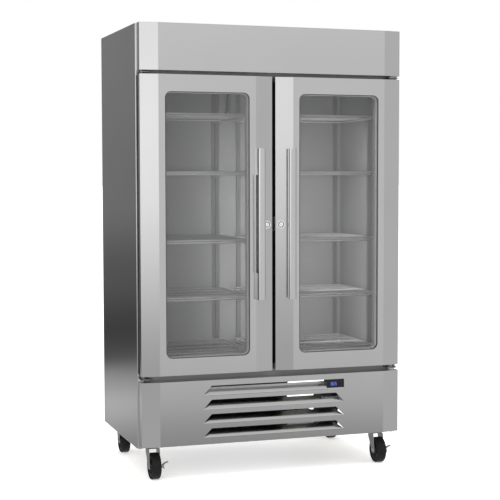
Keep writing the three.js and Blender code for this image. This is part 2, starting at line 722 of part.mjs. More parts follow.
// ---- Temperature controller ----
const BUTTON_CLEARANCE = 0.4;
const controllerBody = box(grow(DISPLAY.x, 1), [CONTROLLER_FRONT, CONTROLLER_REAR], grow(DISPLAY.z, 1));
const buttonHeight = (z) => grow([z, z], BUTTON_HALF_HEIGHT);
const pockets = Object.values(BUTTONS).map((z) =>
  box(grow(BUTTON_X, BUTTON_CLEARANCE), [0, BUTTON_POCKET], grow(buttonHeight(z), BUTTON_CLEARANCE)),
);
place("controller", cut(controllerBody, ...pockets), blackPlastic);
for (const [name, z] of Object.entries(BUTTONS)) {
  const depth = [CONTROLLER_FRONT - BUTTON_TRAVEL, BUTTON_POCKET - BUTTON_TRAVEL - 0.5];
  place(`button_${name}`, box(BUTTON_X, depth, buttonHeight(z)), blackPlastic);
}

// ---- Condensing unit ----
const CONDENSER_CENTRE = {
  x: (CONDENSER.x[0] + CONDENSER.x[1]) / 2,
  z: (CONDENSER.z[0] + CONDENSER.z[1]) / 2,
};
const SHROUD_FRONT = CONDENSER.y[1] + GAP;
const condenserFan = { ...CONDENSER_CENTRE, radius: FAN_RADIUS, front: SHROUD_FRONT + 22 };

place("condenser_coil", finnedCoil(CONDENSER, 16, 42), coilMetal);

// A tray-shaped shroud with a round throat, carrying the fan motor on two arms.
function fanShroud() {
  const { x, z } = CONDENSER;
  const outside = box(x, [SHROUD_FRONT, SHROUD_FRONT + 64], z);
  const inside = box(grow(x, -SHEET), [SHROUD_FRONT - 1, SHROUD_FRONT + 30], grow(z, -SHEET));
  const { x: fanX, z: fanZ } = CONDENSER_CENTRE;
  const ring = rod("y", FAN_RADIUS + 12, SHROUD_FRONT + 30, SHROUD_FRONT + 46, [fanX, fanZ], 40);
  const sheet = box(x, [SHROUD_FRONT + 30, SHROUD_FRONT + 32], z);
  const throat = rod("y", FAN_RADIUS + 8, SHROUD_FRONT - 5, SHROUD_FRONT + 60, [fanX, fanZ], 40);
  const rim = outside.intersect(box(x, [SHROUD_FRONT, SHROUD_FRONT + 32], z));
  const shell = cut(join(cut(rim, inside), sheet, ring), throat);
  const drive = motor({ ...condenserFan, radius: 90, reach: FAN_RADIUS + 20 });
  const armEnd = condenserFan.front + 46;
  const posts = [-1, 1].map((side) => {
    const post = fanX + side * (FAN_RADIUS + 15);
    return box([post - 5, post + 5], [SHROUD_FRONT + 31, armEnd + 4], [fanZ - 9, fanZ + 9]);
  });
  return join(shell, drive, ...posts);
}

place("condenser_shroud", fanShroud(), blackPaint);
place("condenser_fan", rotor({ ...condenserFan, blades: 5 }), blackPlastic);

// A welded hermetic can on a foot plate, hollow and open underneath.
function compressor() {
  const { x, y } = COMPRESSOR;
  const foot = PLATE_Z + 8 + GAP;
  const can = (extra) => {
    const profile = [
      [0, 12],
      [78, 12],
      [88, 40],
      [88, 110],
      [94, 112],
      [94, 120],
      [88, 122],
      [84, 170],
      [58, 204],
      [0, 214],
    ].map(([radius, height]) => new THREE.Vector2(Math.max(radius + extra, 0), height + extra));
    return solid(new THREE.LatheGeometry(profile, 32).rotateX(Math.PI / 2).translate(x, y, foot));
  };
  const plate = box(grow([x, x], 105), grow([y, y], 75), [foot, foot + 14]);
  const mouth = rod("z", 60, foot - 1, foot + 40, [x, y], 32);
  return cut(join(can(0), plate), can(-COMPRESSOR_WALL), mouth);
}

place("compressor", compressor(), blackPaint);

// A folded box for the wiring, open at the back.
const electricalBox = cut(
  box(ELECTRICAL_BOX.x, ELECTRICAL_BOX.y, ELECTRICAL_BOX.z),
  box(
    grow(ELECTRICAL_BOX.x, -SHEET),
    [ELECTRICAL_BOX.y[0] + SHEET, ELECTRICAL_BOX.y[1] + 1],
    grow(ELECTRICAL_BOX.z, -SHEET),
  ),
);
place("electrical_box", electricalBox, blackPaint);

export default merchandiser;
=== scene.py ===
# Looks for the two-section glass door merchandiser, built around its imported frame.
# Everything is in metres; the doors face -Y and z = 0 is the floor.
import math

import bmesh
import bpy
from mathutils import Matrix, Vector


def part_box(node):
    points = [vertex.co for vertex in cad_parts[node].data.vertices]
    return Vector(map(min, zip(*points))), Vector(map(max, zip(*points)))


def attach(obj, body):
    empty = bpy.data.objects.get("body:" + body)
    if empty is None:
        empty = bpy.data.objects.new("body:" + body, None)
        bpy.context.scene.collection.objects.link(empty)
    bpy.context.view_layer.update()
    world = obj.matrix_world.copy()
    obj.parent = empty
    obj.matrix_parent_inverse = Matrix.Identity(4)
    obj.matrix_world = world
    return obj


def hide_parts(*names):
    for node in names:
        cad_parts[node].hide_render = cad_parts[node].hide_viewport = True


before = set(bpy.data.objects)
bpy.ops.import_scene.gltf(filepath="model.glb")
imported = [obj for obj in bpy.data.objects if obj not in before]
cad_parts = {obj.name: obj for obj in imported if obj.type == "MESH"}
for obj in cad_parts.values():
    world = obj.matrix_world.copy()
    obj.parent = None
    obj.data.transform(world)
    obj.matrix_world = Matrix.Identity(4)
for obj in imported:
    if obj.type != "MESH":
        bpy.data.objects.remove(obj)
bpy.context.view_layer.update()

# ---- Places taken from the frame ----
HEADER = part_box("header_panel")
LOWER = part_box("lower_panel")
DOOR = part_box("right_door_frame")
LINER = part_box("inner_liner")
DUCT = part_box("rear_duct_panel")
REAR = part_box("rear_panel")
SIGN = {"left": -1, "right": 1}

# ---- Driving sizes of the looks, the same as the frame's ----
FACE_Y = HEADER[0].y
BEVEL_WIDTH = 0.086
BEVEL_SETBACK = 0.015
BEVEL_ANGLE = math.atan(BEVEL_SETBACK / BEVEL_WIDTH)
SHEET = 0.0012
FOLD_CREASE = 5  # degrees; the bevels' folds stay sharp
DOOR_THICKNESS = 0.062
PAN_DEPTH = 0.0235
WINDOW_MARGIN = 0.1174
WINDOW_Z = (0.585, 1.834)
WINDOW_RADIUS = 0.030
LOUVRES = ((0.200, 0.243), (0.268, 0.311), (0.335, 0.380), (0.402, 0.447))
LOUVRE_HALF_BOTTOM = 0.359
LOUVRE_HALF_TOP = 0.317
LOUVRE_LEAN = 0.030
DISPLAY_X = (0.272, 0.359)
DISPLAY_Z = (0.400, 0.447)
LOCK_Z = 1.209
LOCK_X = 0.035
HANDLE_ROOT_X = 0.102
HANDLE_CORNER_X = 0.095
HANDLE_LIP_X = 0.060
HANDLE_LIP_END = -0.016
HANDLE_SLOT = (0.980, 1.447)
HANDLE_SLOT_DEPTH = (-0.040, -0.015)
CAVITY_HALF_WIDTH = 0.612
WHEEL_RADIUS = 0.0635
WHEEL_HALF_WIDTH = 0.022
CASTER_TRAIL = 0.036
FORK_GAP = 0.0245
FORK_GAUGE = 0.003
PEDAL_PIVOT_Z = 0.058
# Width of the dark strip painted beside the centre-left standard as its shadow.
PAINTED_SHADOW_WIDTH = 0.018

scene = bpy.context.scene


# ---- Mesh tools ----
def add_prism(bm, outline, place, start, end):
    """A closed outline of (u, v) pairs carried from start to end; place(u, v, w) gives the point."""
    first = [bm.verts.new(place(u, v, start)) for u, v in outline]
    last = [bm.verts.new(place(u, v, end)) for u, v in outline]
    count = len(outline)
    for index in range(count):
        after = (index + 1) % count
        bm.faces.new((first[index], first[after], last[after], last[index]))
    bm.faces.new(first[::-1])
    bm.faces.new(last)


def along_x(u, v, w):
    return (w, u, v)


def along_y(u, v, w):
    return (u, w, v)


def along_z(u, v, w):
    return (u, v, w)


def add_box(bm, x, y, z):
    outline = [(x[0], y[0]), (x[1], y[0]), (x[1], y[1]), (x[0], y[1])]
    add_prism(bm, outline, along_z, z[0], z[1])


def circle(centre, radius, steps, start=0.0):
    turn = 2 * math.pi / steps
    return [
        (centre[0] + radius * math.cos(start + turn * k), centre[1] + radius * math.sin(start + turn * k))
        for k in range(steps)
    ]


def add_rod(bm, place, centre, radius, start, end, steps=24):
    add_prism(bm, circle(centre, radius, steps), place, start, end)


def add_lathe(bm, place, centre, profile, steps=32):
    """A profile of (radius, along) pairs turned about an axis; a radius of 0 closes it."""
    rings = []
    for radius, along in profile:
        if radius == 0:
            rings.append([bm.verts.new(place(centre[0], centre[1], along))])
        else:
            rings.append([bm.verts.new(place(u, v, along)) for u, v in circle(centre, radius, steps)])
    for lower, upper in zip(rings, rings[1:]):
        for k in range(steps):
            after = (k + 1) % steps
            corners = [lower[k % len(lower)], lower[after % len(lower)]]
            corners += [upper[after % len(upper)], upper[k % len(upper)]]
            bm.faces.new(list(dict.fromkeys(corners)))


def add_tube(bm, points, radius, sides=8, closed=False):
    """A round wire or pipe through the points."""
    points = [Vector(p) for p in points]
    count = len(points)
    normal = None
    rings = []
    for index, point in enumerate(points):
        before = points[index - 1] if index or closed else point
        after = points[(index + 1) % count] if index < count - 1 or closed else point
        heading = (after - before).normalized()
        if normal is None:
            normal = heading.orthogonal().normalized()
        normal = (normal - heading * normal.dot(heading)).normalized()
        across = heading.cross(normal)
        rings.append(
            [bm.verts.new(point + radius * (math.cos(a) * normal + math.sin(a) * across))
             for a in (2 * math.pi * k / sides for k in range(sides))]
        )
    pairs = list(zip(rings, rings[1:])) + ([(rings[-1], rings[0])] if closed else [])
    for lower, upper in pairs:
        for k in range(sides):
            after = (k + 1) % sides
            bm.faces.new((lower[k], lower[after], upper[after], upper[k]))
    if not closed:
        bm.faces.new(rings[0][::-1])
        bm.faces.new(rings[-1])


def rounded_rectangle(x, z, radius, steps=8):
    corners = [
        (x[1] - radius, z[0] + radius, -90),
        (x[1] - radius, z[1] - radius, 0),
        (x[0] + radius, z[1] - radius, 90),
        (x[0] + radius, z[0] + radius, 180),
    ]
    points = []
    for cx, cz, start in corners:
        for k in range(steps + 1):
            angle = math.radians(start + 90 * k / steps)
            points.append((cx + radius * math.cos(angle), cz + radius * math.sin(angle)))
    return points


def rounded_path(points, radius, steps=5):
    """An open path whose inner corners are rounded."""
    path = [Vector(points[0])]
    for before, corner, after in zip(points, points[1:], points[2:]):
        before, corner, after = Vector(before), Vector(corner), Vector(after)
        reach = min(radius, (before - corner).length / 2, (after - corner).length / 2)
        start = corner + (before - corner).normalized() * reach
        end = corner + (after - corner).normalized() * reach
        for k in range(steps + 1):
            t = k / steps
            path.append(start * (1 - t) ** 2 + corner * 2 * t * (1 - t) + end * t**2)
    path.append(Vector(points[-1]))
    return path


def sheet_section(path, gauge):
    """The closed outline of a bent sheet: a centreline of (u, v) pairs, given a thickness."""
    path = [Vector(point) for point in path]
    sides = ([], [])
    for index, point in enumerate(path):
        before = path[max(index - 1, 0)]
        after = path[min(index + 1, len(path) - 1)]
        heading = (after - before).normalized()
        normal = Vector((-heading.y, heading.x))
        sides[0].append(tuple(point + normal * gauge / 2))
        sides[1].append(tuple(point - normal * gauge / 2))
    return sides[0] + sides[1][::-1]


def mirrored(bm, side):
    if side == "left":
        bmesh.ops.scale(bm, vec=(-1, 1, 1), verts=bm.verts)
    return bm


def piece(name, bm, material, slot, replaces=(), body="cabinet", edge=0.0, segments=2, smooth=True,
          crease=35):
    """Makes an object of the mesh, softens its edges, and has it ride on a CAD body.

    An edge that turns by more than the crease, in degrees, stays sharp."""
    bmesh.ops.recalc_face_normals(bm, faces=bm.faces)
    mesh = bpy.data.meshes.new(name)
    bm.to_mesh(mesh)
    bm.free()
    obj = bpy.data.objects.new(name, mesh)
    scene.collection.objects.link(obj)
    mesh.materials.append(material)
    if smooth:
        mesh.shade_smooth()
        mesh.set_sharp_from_angle(angle=math.radians(crease))
    if edge:
        soften(obj, edge, segments)
    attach(obj, body)
    if replaces:
        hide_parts(*replaces)
    return obj


def soften(obj, width, segments):
    bevel = obj.modifiers.new("soft_edges", "BEVEL")
    bevel.width = width
    bevel.segments = segments
    bevel.limit_method = "ANGLE"
    bevel.angle_limit = math.radians(28)
    bevel.harden_normals = True
    bevel.use_clamp_overlap = True


def cut(bm, *cutters):
    """The mesh with the cutters' solids taken away, as a new mesh."""
    def holder(source):
        bmesh.ops.recalc_face_normals(source, faces=source.faces)
        mesh = bpy.data.meshes.new("cut")
        source.to_mesh(mesh)
        source.free()
        obj = bpy.data.objects.new("cut", mesh)
        scene.collection.objects.link(obj)
        return obj

    whole = holder(bm)
    tools = [holder(cutter) for cutter in cutters]
    for tool in tools:
        boolean = whole.modifiers.new("cut", "BOOLEAN")
        boolean.operation = "DIFFERENCE"
        boolean.solver = "EXACT"
        boolean.object = tool
    evaluated = whole.evaluated_get(bpy.context.evaluated_depsgraph_get())
    result = bmesh.new()
    result.from_mesh(evaluated.to_mesh())
    for obj in [whole, *tools]:
        bpy.data.objects.remove(obj)
    return result


def join(bm, other):
    """Adds another mesh's faces to this one."""
    mesh = bpy.data.meshes.new("joined")
    other.to_mesh(mesh)
    other.free()
    bm.from_mesh(mesh)


def prism(outline, place, start, end):
    bm = bmesh.new()
    add_prism(bm, outline, place, start, end)
    return bm


def box_mesh(x, y, z):
    bm = bmesh.new()
    add_box(bm, x, y, z)
    return bm


# ---- Materials ----
class Surface:
    """A principled material with its node tree, and the few node chains that the finishes share."""

    def __init__(self, name, color, roughness, metallic=0.0, **sockets):
        self.material = bpy.data.materials.new(name)
        self.material.use_nodes = True
        self.tree = self.material.node_tree
        self.shader = self.tree.nodes["Principled BSDF"]
        self.color = color
        self.roughness = roughness
        self.shader.inputs["Base Color"].default_value = (*color, 1)
        self.shader.inputs["Roughness"].default_value = roughness
        self.shader.inputs["Metallic"].default_value = metallic
        for socket, value in sockets.items():
            self.shader.inputs[socket.replace("_", " ")].default_value = value

    def node(self, kind, **settings):
        made = self.tree.nodes.new(kind)
        for key, value in settings.items():
            if key in made.inputs:
                made.inputs[key].default_value = value
            else:
                setattr(made, key, value)
        return made

    def link(self, out, into):
        self.tree.links.new(out, into)

    def noise(self, scale, stretch=(1, 1, 1), detail=4.0):
        """Noise over the object's own coordinates, which may be stretched along its axes."""
        place = self.node("ShaderNodeTexCoord")
        mapping = self.node("ShaderNodeMapping")
        mapping.inputs["Scale"].default_value = stretch
        noise = self.node("ShaderNodeTexNoise", Scale=scale, Detail=detail)
        self.link(place.outputs["Object"], mapping.inputs["Vector"])
        self.link(mapping.outputs["Vector"], noise.inputs["Vector"])
        return noise.outputs["Fac"]

    def spread(self, fac, low, high):
        ramp = self.node("ShaderNodeMapRange")
        ramp.inputs["From Min"].default_value = 0.3
        ramp.inputs["From Max"].default_value = 0.7
        ramp.inputs["To Min"].default_value = low
        ramp.inputs["To Max"].default_value = high
        self.link(fac, ramp.inputs["Value"])
        return ramp.outputs["Result"]

    def vary_roughness(self, fac, amount):
        spread = self.spread(fac, self.roughness - amount, self.roughness + amount)
        self.link(spread, self.shader.inputs["Roughness"])
        return self

    def vary_color(self, fac, amount):
        dark = [max(c * (1 - amount), 0) for c in self.color]
        light = [min(c * (1 + amount), 1) for c in self.color]
        mix = self.node("ShaderNodeMix", data_type="RGBA")
        self.link(self.spread(fac, 0.0, 1.0), mix.inputs["Factor"])
        for socket in mix.inputs:
            if socket.type == "RGBA" and socket.name in "AB":
                socket.default_value = (*(dark if socket.name == "A" else light), 1)
        result = next(o for o in mix.outputs if o.type == "RGBA")
        self.link(result, self.shader.inputs["Base Color"])
        return self

    def bump(self, fac, strength, distance):
        bump = self.node("ShaderNodeBump", Strength=strength, Distance=distance)
        self.link(fac, bump.inputs["Height"])
        self.link(bump.outputs["Normal"], self.shader.inputs["Normal"])
        return self


def brushed(name, color, roughness, grain, amount=0.03, anisotropy=0.85):
    """Metal sheet. Anisotropy spreads its reflections sideways more than up and down."""
    surface = Surface(name, color, roughness, metallic=1.0, Anisotropic=anisotropy)
    fine = surface.noise(1.0, grain, detail=3.0)
    broad = surface.noise(3.0, detail=2.0)
    surface.vary_roughness(fine, amount)
    surface.vary_color(broad, 0.015)
    surface.bump(fine, 0.05, 0.0002)
    return surface.material


def plastic(name, color, roughness, grain=900.0, bump=0.08, specular=0.5):
    surface = Surface(name, color, roughness, Specular_IOR_Level=specular)
    fine = surface.noise(grain)
    surface.vary_roughness(surface.noise(12.0), 0.06)
    surface.vary_color(fine, 0.12)
    surface.bump(fine, bump, 0.0002)
    return surface.material


def coated(name, color, roughness, metallic):
    """Coated sheet or wire: partly polished, partly satin."""
    surface = Surface(name, color, roughness, metallic=metallic)
    blotches = surface.noise(90.0)
    surface.vary_roughness(blotches, 0.08)
    surface.vary_color(blotches, 0.06)
    surface.bump(surface.noise(800.0), 0.04, 0.0002)
    return surface.material


def plated(name, color, roughness, amount=0.08):
    surface = Surface(name, color, roughness, metallic=1.0)
    blotches = surface.noise(60.0)
    surface.vary_roughness(blotches, amount)
    surface.vary_color(blotches, 0.08)
    surface.bump(surface.noise(700.0), 0.04, 0.0002)
    return surface.material


UPRIGHT_GRAIN = (900, 900, 6)
STEEL = (0.64, 0.64, 0.64)
steel_skin = brushed("brushed_steel_skin", STEEL, 0.14, UPRIGHT_GRAIN)
steel_door = brushed("brushed_steel_door", STEEL, 0.14, UPRIGHT_GRAIN)
steel_side = brushed("brushed_steel_side", STEEL, 0.15, UPRIGHT_GRAIN)
galvanised = brushed("galvanised_rear", (0.51, 0.51, 0.515), 0.42, (40, 40, 40), 0.1, anisotropy=0.0)
steel_handle = brushed("steel_handle", (0.67, 0.67, 0.67), 0.16, UPRIGHT_GRAIN)
liner_metal = coated("liner_metal", (0.34, 0.34, 0.34), 0.50, metallic=0.2)
shelf_metal = coated("shelf_wire", (0.62, 0.62, 0.62), 0.35, metallic=0.2)
standard_metal = coated("standard_metal", (0.21, 0.21, 0.21), 0.45, metallic=0.2)
lock_metal = coated("lock_metal", (0.86, 0.86, 0.86), 0.30, metallic=0.3)
# The hinge plates' metal is made darker than zinc as painted shade, for the hinges sitting in shadow at the
# ends of the doors.
hinge_metal_painted_shade = plated("hinge_metal_painted_shade", (0.24, 0.24, 0.24), 0.3)
zinc = plated("zinc_plate", (0.50, 0.51, 0.52), 0.32)
bright_pin = plated("bright_steel", (0.62, 0.62, 0.63), 0.18, 0.04)
copper = plated("copper_pipe", (0.62, 0.28, 0.16), 0.3)
fin_metal = plated("fin_aluminium", (0.62, 0.63, 0.64), 0.4)
black_rubber = plastic("black_rubber", (0.012, 0.012, 0.013), 0.62, 500.0, 0.15)
bead_rubber = plastic("bead_rubber", (0.06, 0.06, 0.06), 0.5, 500.0, 0.1)
tread = plastic("caster_tread", (0.009, 0.009, 0.009), 0.55, 300.0, 0.12, specular=0.15)
black_plastic = plastic("black_plastic", (0.010, 0.010, 0.010), 0.36, 800.0, 0.1)
bezel_gloss = plastic("bezel_gloss", (0.003, 0.003, 0.004), 0.22, 900.0, 0.02)
black_paint = plastic("black_enamel", (0.018, 0.018, 0.02), 0.36, 200.0, 0.1)
coil_paint = plastic("dark_fins", (0.016, 0.015, 0.015), 0.5, 400.0, 0.1)
reveal_plastic = plastic("window_reveal", (0.42, 0.42, 0.42), 0.4, 700.0, 0.05)
white_plastic = plastic("lamp_housing", (0.78, 0.79, 0.79), 0.4, 700.0, 0.04)
pan_plastic = plastic("pan_plastic", (0.30, 0.31, 0.32), 0.5, 300.0, 0.08)
foam_surface = plastic("foam", (0.62, 0.56, 0.36), 0.9, 120.0, 0.5)


def glass_material():
    surface = Surface("door_glass", (0.13, 0.131, 0.132), 0.06, Alpha=0.10, IOR=1.45)
    surface.vary_color(surface.noise(2.0), 0.03)
    return surface.material


def glowing(name, color, strength):
    surface = Surface(name, color, 0.4)
    surface.vary_color(surface.noise(60.0), 0.03)
    surface.shader.inputs["Emission Color"].default_value = (*color, 1)
    surface.shader.inputs["Emission Strength"].default_value = strength
    return surface.material


door_glass = glass_material()
digit_glow = glowing("digit_glow", (0.12, 0.17, 0.85), 0.9)
lamp_glow = glowing("lamp_glow", (0.93, 0.95, 1.0), 1.5)


# ---- Camera ----
def make_camera():
    data = bpy.data.cameras.new("camera")
    data.sensor_width = 36.0
    data.lens = 96.55
    data.shift_x = -0.0774
    data.shift_y = 0.0211
    data.clip_end = 400
    camera = bpy.data.objects.new("camera", data)
    scene.collection.objects.link(camera)
    camera.location = (-2.079, -6.479, 1.452)
    camera.rotation_euler = (math.radians(90 - 3.703), 0, math.radians(-19.475))
    scene.camera = camera


# ---- Front covers ----
def front_outline(x, rear, inset=0.0):
    """The plan outline of a front piece that is bevelled at both ends."""
    corner = inset * BEVEL_SETBACK / BEVEL_WIDTH
    setback = FACE_Y + BEVEL_SETBACK + inset - corner
    return [
        (x[0] + inset, rear),
        (x[0] + inset, setback),
        (x[0] + BEVEL_WIDTH, FACE_Y + inset),
        (x[1] - BEVEL_WIDTH, FACE_Y + inset),
        (x[1] - inset, setback),
        (x[1] - inset, rear),
    ]


def folded_cover(low, high):
    """A front skin folded back at its top and bottom, with flanges at the rear."""
    x = (low.x, high.x)
    outside = prism(front_outline(x, high.y), along_z, low.z, high.z)
    inside = prism(front_outline(x, high.y + 0.01, SHEET), along_z, low.z + SHEET, high.z - SHEET)
    return cut(outside, inside)


def make_header():
    low, high = HEADER
    piece("header_cover", folded_cover(low, high), steel_skin, "stainless_skin",
          ["header_panel"], edge=0.0012, crease=FOLD_CREASE)


def louvre_blade(bottom, top):
    """The slot's own metal, folded in along its bottom edge until it leans inwards."""
    y = FACE_Y + SHEET / 2
    rise = math.sqrt((top - bottom) ** 2 - LOUVRE_LEAN**2)
    centre = [
        (y, bottom - 0.002),
        (y, bottom + 0.001),
        (FACE_Y + LOUVRE_LEAN, bottom + rise),
    ]
    path = rounded_path(centre, 0.004)
    section = sheet_section(path, SHEET)
    blade = prism(section, along_x, -LOUVRE_HALF_BOTTOM, LOUVRE_HALF_BOTTOM)
    lean = (LOUVRE_HALF_BOTTOM - LOUVRE_HALF_TOP) / rise
    for vert in blade.verts:
        half = LOUVRE_HALF_BOTTOM - lean * max(vert.co.z - bottom, 0)
        vert.co.x = math.copysign(half, vert.co.x)
    return blade


def make_lower_cover():
    low, high = LOWER
    openings = []
    for bottom, top in LOUVRES:
        shape = [
            (-LOUVRE_HALF_BOTTOM, bottom),
            (LOUVRE_HALF_BOTTOM, bottom),
            (LOUVRE_HALF_TOP, top),
            (-LOUVRE_HALF_TOP, top),
        ]
        openings.append(prism(shape, along_y, FACE_Y - 0.01, FACE_Y + 0.01))
    display = rounded_rectangle(DISPLAY_X, DISPLAY_Z, 0.005)
    openings.append(prism(display, along_y, FACE_Y - 0.01, FACE_Y + 0.01))
    cover = cut(folded_cover(low, high), *openings)
    piece("lower_cover", cover, steel_skin, "stainless_skin", ["lower_panel"], edge=0.0008,
          crease=FOLD_CREASE)
    for number, (bottom, top) in enumerate(LOUVRES, 1):
        blade = louvre_blade(bottom, top)
        if number == len(LOUVRES):
            room = box_mesh(
                (DISPLAY_X[0] - 0.003, DISPLAY_X[1] + 0.003), (FACE_Y + SHEET, FACE_Y + 0.06),
                (DISPLAY_Z[0] - 0.003, DISPLAY_Z[1] + 0.003),
            )
            blade = cut(blade, room)
        piece(f"louvre_blade_{number}", blade, steel_skin, "stainless_skin", edge=0.0003)


# ---- Side, roof and rear skins ----
def make_side_panel(side):
    sign = SIGN[side]
    low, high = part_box(f"side_panel_{side}")
    outer = max(abs(low.x), abs(high.x))
    inner = min(abs(low.x), abs(high.x))
    path = [
        (inner, low.y + SHEET / 2),
        (outer - SHEET / 2, low.y + SHEET / 2),
        (outer - SHEET / 2, high.y - SHEET / 2),
        (outer - 0.02, high.y - SHEET / 2),
    ]
    section = sheet_section(rounded_path(path, 0.003), SHEET)
    hem = 0.0024
    bm = prism([(sign * u, v) for u, v in section], along_z, low.z + hem, high.z)
    hem_x = sorted((sign * (outer - 0.02), sign * (outer - hem)))
    add_box(bm, hem_x, (low.y + 0.004, high.y - 0.004), (low.z, low.z + SHEET))
    piece(f"side_skin_{side}", bm, steel_side, "stainless_skin", [f"side_panel_{side}"])
    # The rolled hem takes the pale lock finish rather than the side's steel: a painted highlight along the
    # panel's bottom edge.
    rolled = bmesh.new()
    add_rod(rolled, along_y, (sign * (outer - hem), low.z + hem), hem, low.y, high.y, 16)
    piece(f"side_hem_{side}", rolled, lock_metal, "stainless_skin")


def screw_head(bm, place, centre, face, out, radius=0.005):
    """A pan head screw on a face; out is +1 or -1 along the place's third axis."""
    profile = [
        (0, face + out * 0.0028),
        (radius * 0.55, face + out * 0.0024),
        (radius * 0.9, face + out * 0.0014),
        (radius, face),
    ]
    add_lathe(bm, place, centre, profile, 16)


def make_roof_and_rear():
    low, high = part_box("roof_panel")
    bm = bmesh.new()
    add_box(bm, (low.x, high.x), (low.y, high.y), (high.z - SHEET, high.z))
    for y in (low.y, high.y - SHEET):
        add_box(bm, (low.x, high.x), (y, y + SHEET), (low.z, high.z - SHEET))
    piece("roof_skin", bm, galvanised, "stainless_skin", ["roof_panel"], edge=0.0006)
    low, high = REAR
    slots = []
    for row in range(5):
        z = 1.99 + row * 0.024
        for x in (-0.35, 0.35):
            outline = rounded_rectangle((x - 0.12, x + 0.12), (z, z + 0.009), 0.0042, 4)
            slots.append(prism(outline, along_y, low.y - 0.01, high.y + 0.01))
    skin = cut(box_mesh((low.x + 0.0195, high.x - 0.0195), (low.y, high.y), (low.z, high.z)), *slots)
    piece("rear_skin", skin, galvanised, "stainless_skin", ["rear_panel"])
    screws = bmesh.new()
    for x in (low.x + 0.028, high.x - 0.028):
        for step in range(8):
            z = low.z + 0.03 + step * (high.z - low.z - 0.06) / 7
            screw_head(screws, along_y, (x, z), high.y - 0.0028, 1)
    piece("rear_screws", screws, bright_pin, "zinc_plate")


# ---- Doors ----
# Each door is made as the right one; the left one is its mirror image.
DOOR_X = (DOOR[0].x, DOOR[1].x)
DOOR_Z = (DOOR[0].z, DOOR[1].z)


def door_piece(side, name, bm, material, slot, body="door", **options):
    piece(f"{side}_{name}", mirrored(bm, side), material, slot, body=f"{side}_{body}", **options)


def window_outline(extra=0.0):
    x = (DOOR_X[0] + WINDOW_MARGIN - extra, DOOR_X[1] - WINDOW_MARGIN + extra)
    z = (WINDOW_Z[0] - extra, WINDOW_Z[1] + extra)
    return rounded_rectangle(x, z, WINDOW_RADIUS + extra)


def window_ring(outside, inside, y):
    """A ring that follows the window: between two offsets from its edge, from y[0] to y[1]."""
    return cut(
        prism(window_outline(outside), along_y, y[0], y[1]),
        prism(window_outline(inside), along_y, y[0] - 0.01, y[1] + 0.01),
    )


def lock_transform():
    setback = BEVEL_SETBACK * (DOOR_X[0] + BEVEL_WIDTH - LOCK_X) / BEVEL_WIDTH
    place = Matrix.Translation((LOCK_X, FACE_Y + setback, LOCK_Z))
    return place @ Matrix.Rotation(-BEVEL_ANGLE, 4, "Z")


def make_door(side):
    rear = FACE_Y + DOOR_THICKNESS
    window_hole = prism(window_outline(), along_y, FACE_Y - 0.02, rear + 0.02)
    keyhole = bmesh.new()
    add_rod(keyhole, along_y, (0, 0), 0.0104, -0.02, 0.02, 32)
    keyhole.transform(lock_transform())
    block = prism(front_outline(DOOR_X, rear - PAN_DEPTH), along_z, *DOOR_Z)
    door_piece(side, "door_skin", cut(block, window_hole, keyhole), steel_door, "stainless_door",
               replaces=[f"{side}_door_frame"], edge=0.0012, crease=FOLD_CREASE)

    # The inner pan of the door, a little smaller than the skin. Its black is partly painted shade: it stands
    # in for the shade in the gap between the door and the side panel.
    inset = 0.002
    inner = cut(
        box_mesh(
            (DOOR_X[0] + inset, DOOR_X[1] - inset),
            (rear - PAN_DEPTH, rear),
            (DOOR_Z[0] + inset, DOOR_Z[1] - inset),
        ),
        prism(window_outline(), along_y, FACE_Y, rear + 0.02),
    )
    door_piece(side, "door_inner", inner, black_plastic, "stainless_door", edge=0.0015)

    bead = window_ring(0.0, -0.0035, (FACE_Y + 0.0015, FACE_Y + 0.012))
    door_piece(side, "glazing_bead", bead, bead_rubber, "gasket", edge=0.001)
    spacer = window_ring(0.0, -0.0060, (FACE_Y + 0.0125, FACE_Y + 0.030))
    door_piece(side, "glass_spacer", spacer, reveal_plastic, "gasket")
    reveal = window_ring(0.0, -0.004, (FACE_Y + 0.0305, rear))
    door_piece(side, "window_reveal", reveal, reveal_plastic, "gasket", edge=0.001)

    panes = bmesh.new()
    for front in (0.007, 0.026):
        add_prism(panes, window_outline(-0.0034), along_y, FACE_Y + front, FACE_Y + front + 0.004)
    door_piece(side, "door_panes", panes, door_glass, "door_glass", replaces=[f"{side}_door_glass"],
               edge=0.0004, segments=1)
    make_door_gasket(side)
    make_handle(side)
    make_lock(side)


def make_door_gasket(side):
    """A magnetic gasket: a flat base, a bellows and a rounded sealing face, mitred at the corners."""
    low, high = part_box("right_door_gasket")
    width = 0.018
    y0, y1 = low.y, high.y
    section = [
        (0.000, y0),
        (width, y0),
        (width, y0 + 0.003),
        (width - 0.004, y0 + 0.0045),
        (width - 0.001, y0 + 0.008),
        (width - 0.001, y1 - 0.002),
        (width - 0.003, y1),
        (0.003, y1),
        (0.001, y1 - 0.002),
        (0.001, y0 + 0.008),
        (0.004, y0 + 0.0045),
        (0.000, y0 + 0.003),
    ]
    bm = bmesh.new()
    rings = []
    for sx, sz in ((0, 0), (1, 0), (1, 1), (0, 1)):
        ring = []
        for inset, y in section:
            x = high.x - inset if sx else low.x + inset
            z = high.z - inset if sz else low.z + inset
            ring.append(bm.verts.new((x, y, z)))
        rings.append(ring)
    count = len(section)
    for index in range(4):
        here, there = rings[index], rings[(index + 1) % 4]
        for k in range(count):
            after = (k + 1) % count
            bm.faces.new((here[k], here[after], there[after], there[k]))
    door_piece(side, "gasket_profile", bm, black_rubber, "gasket", replaces=[f"{side}_door_gasket"])


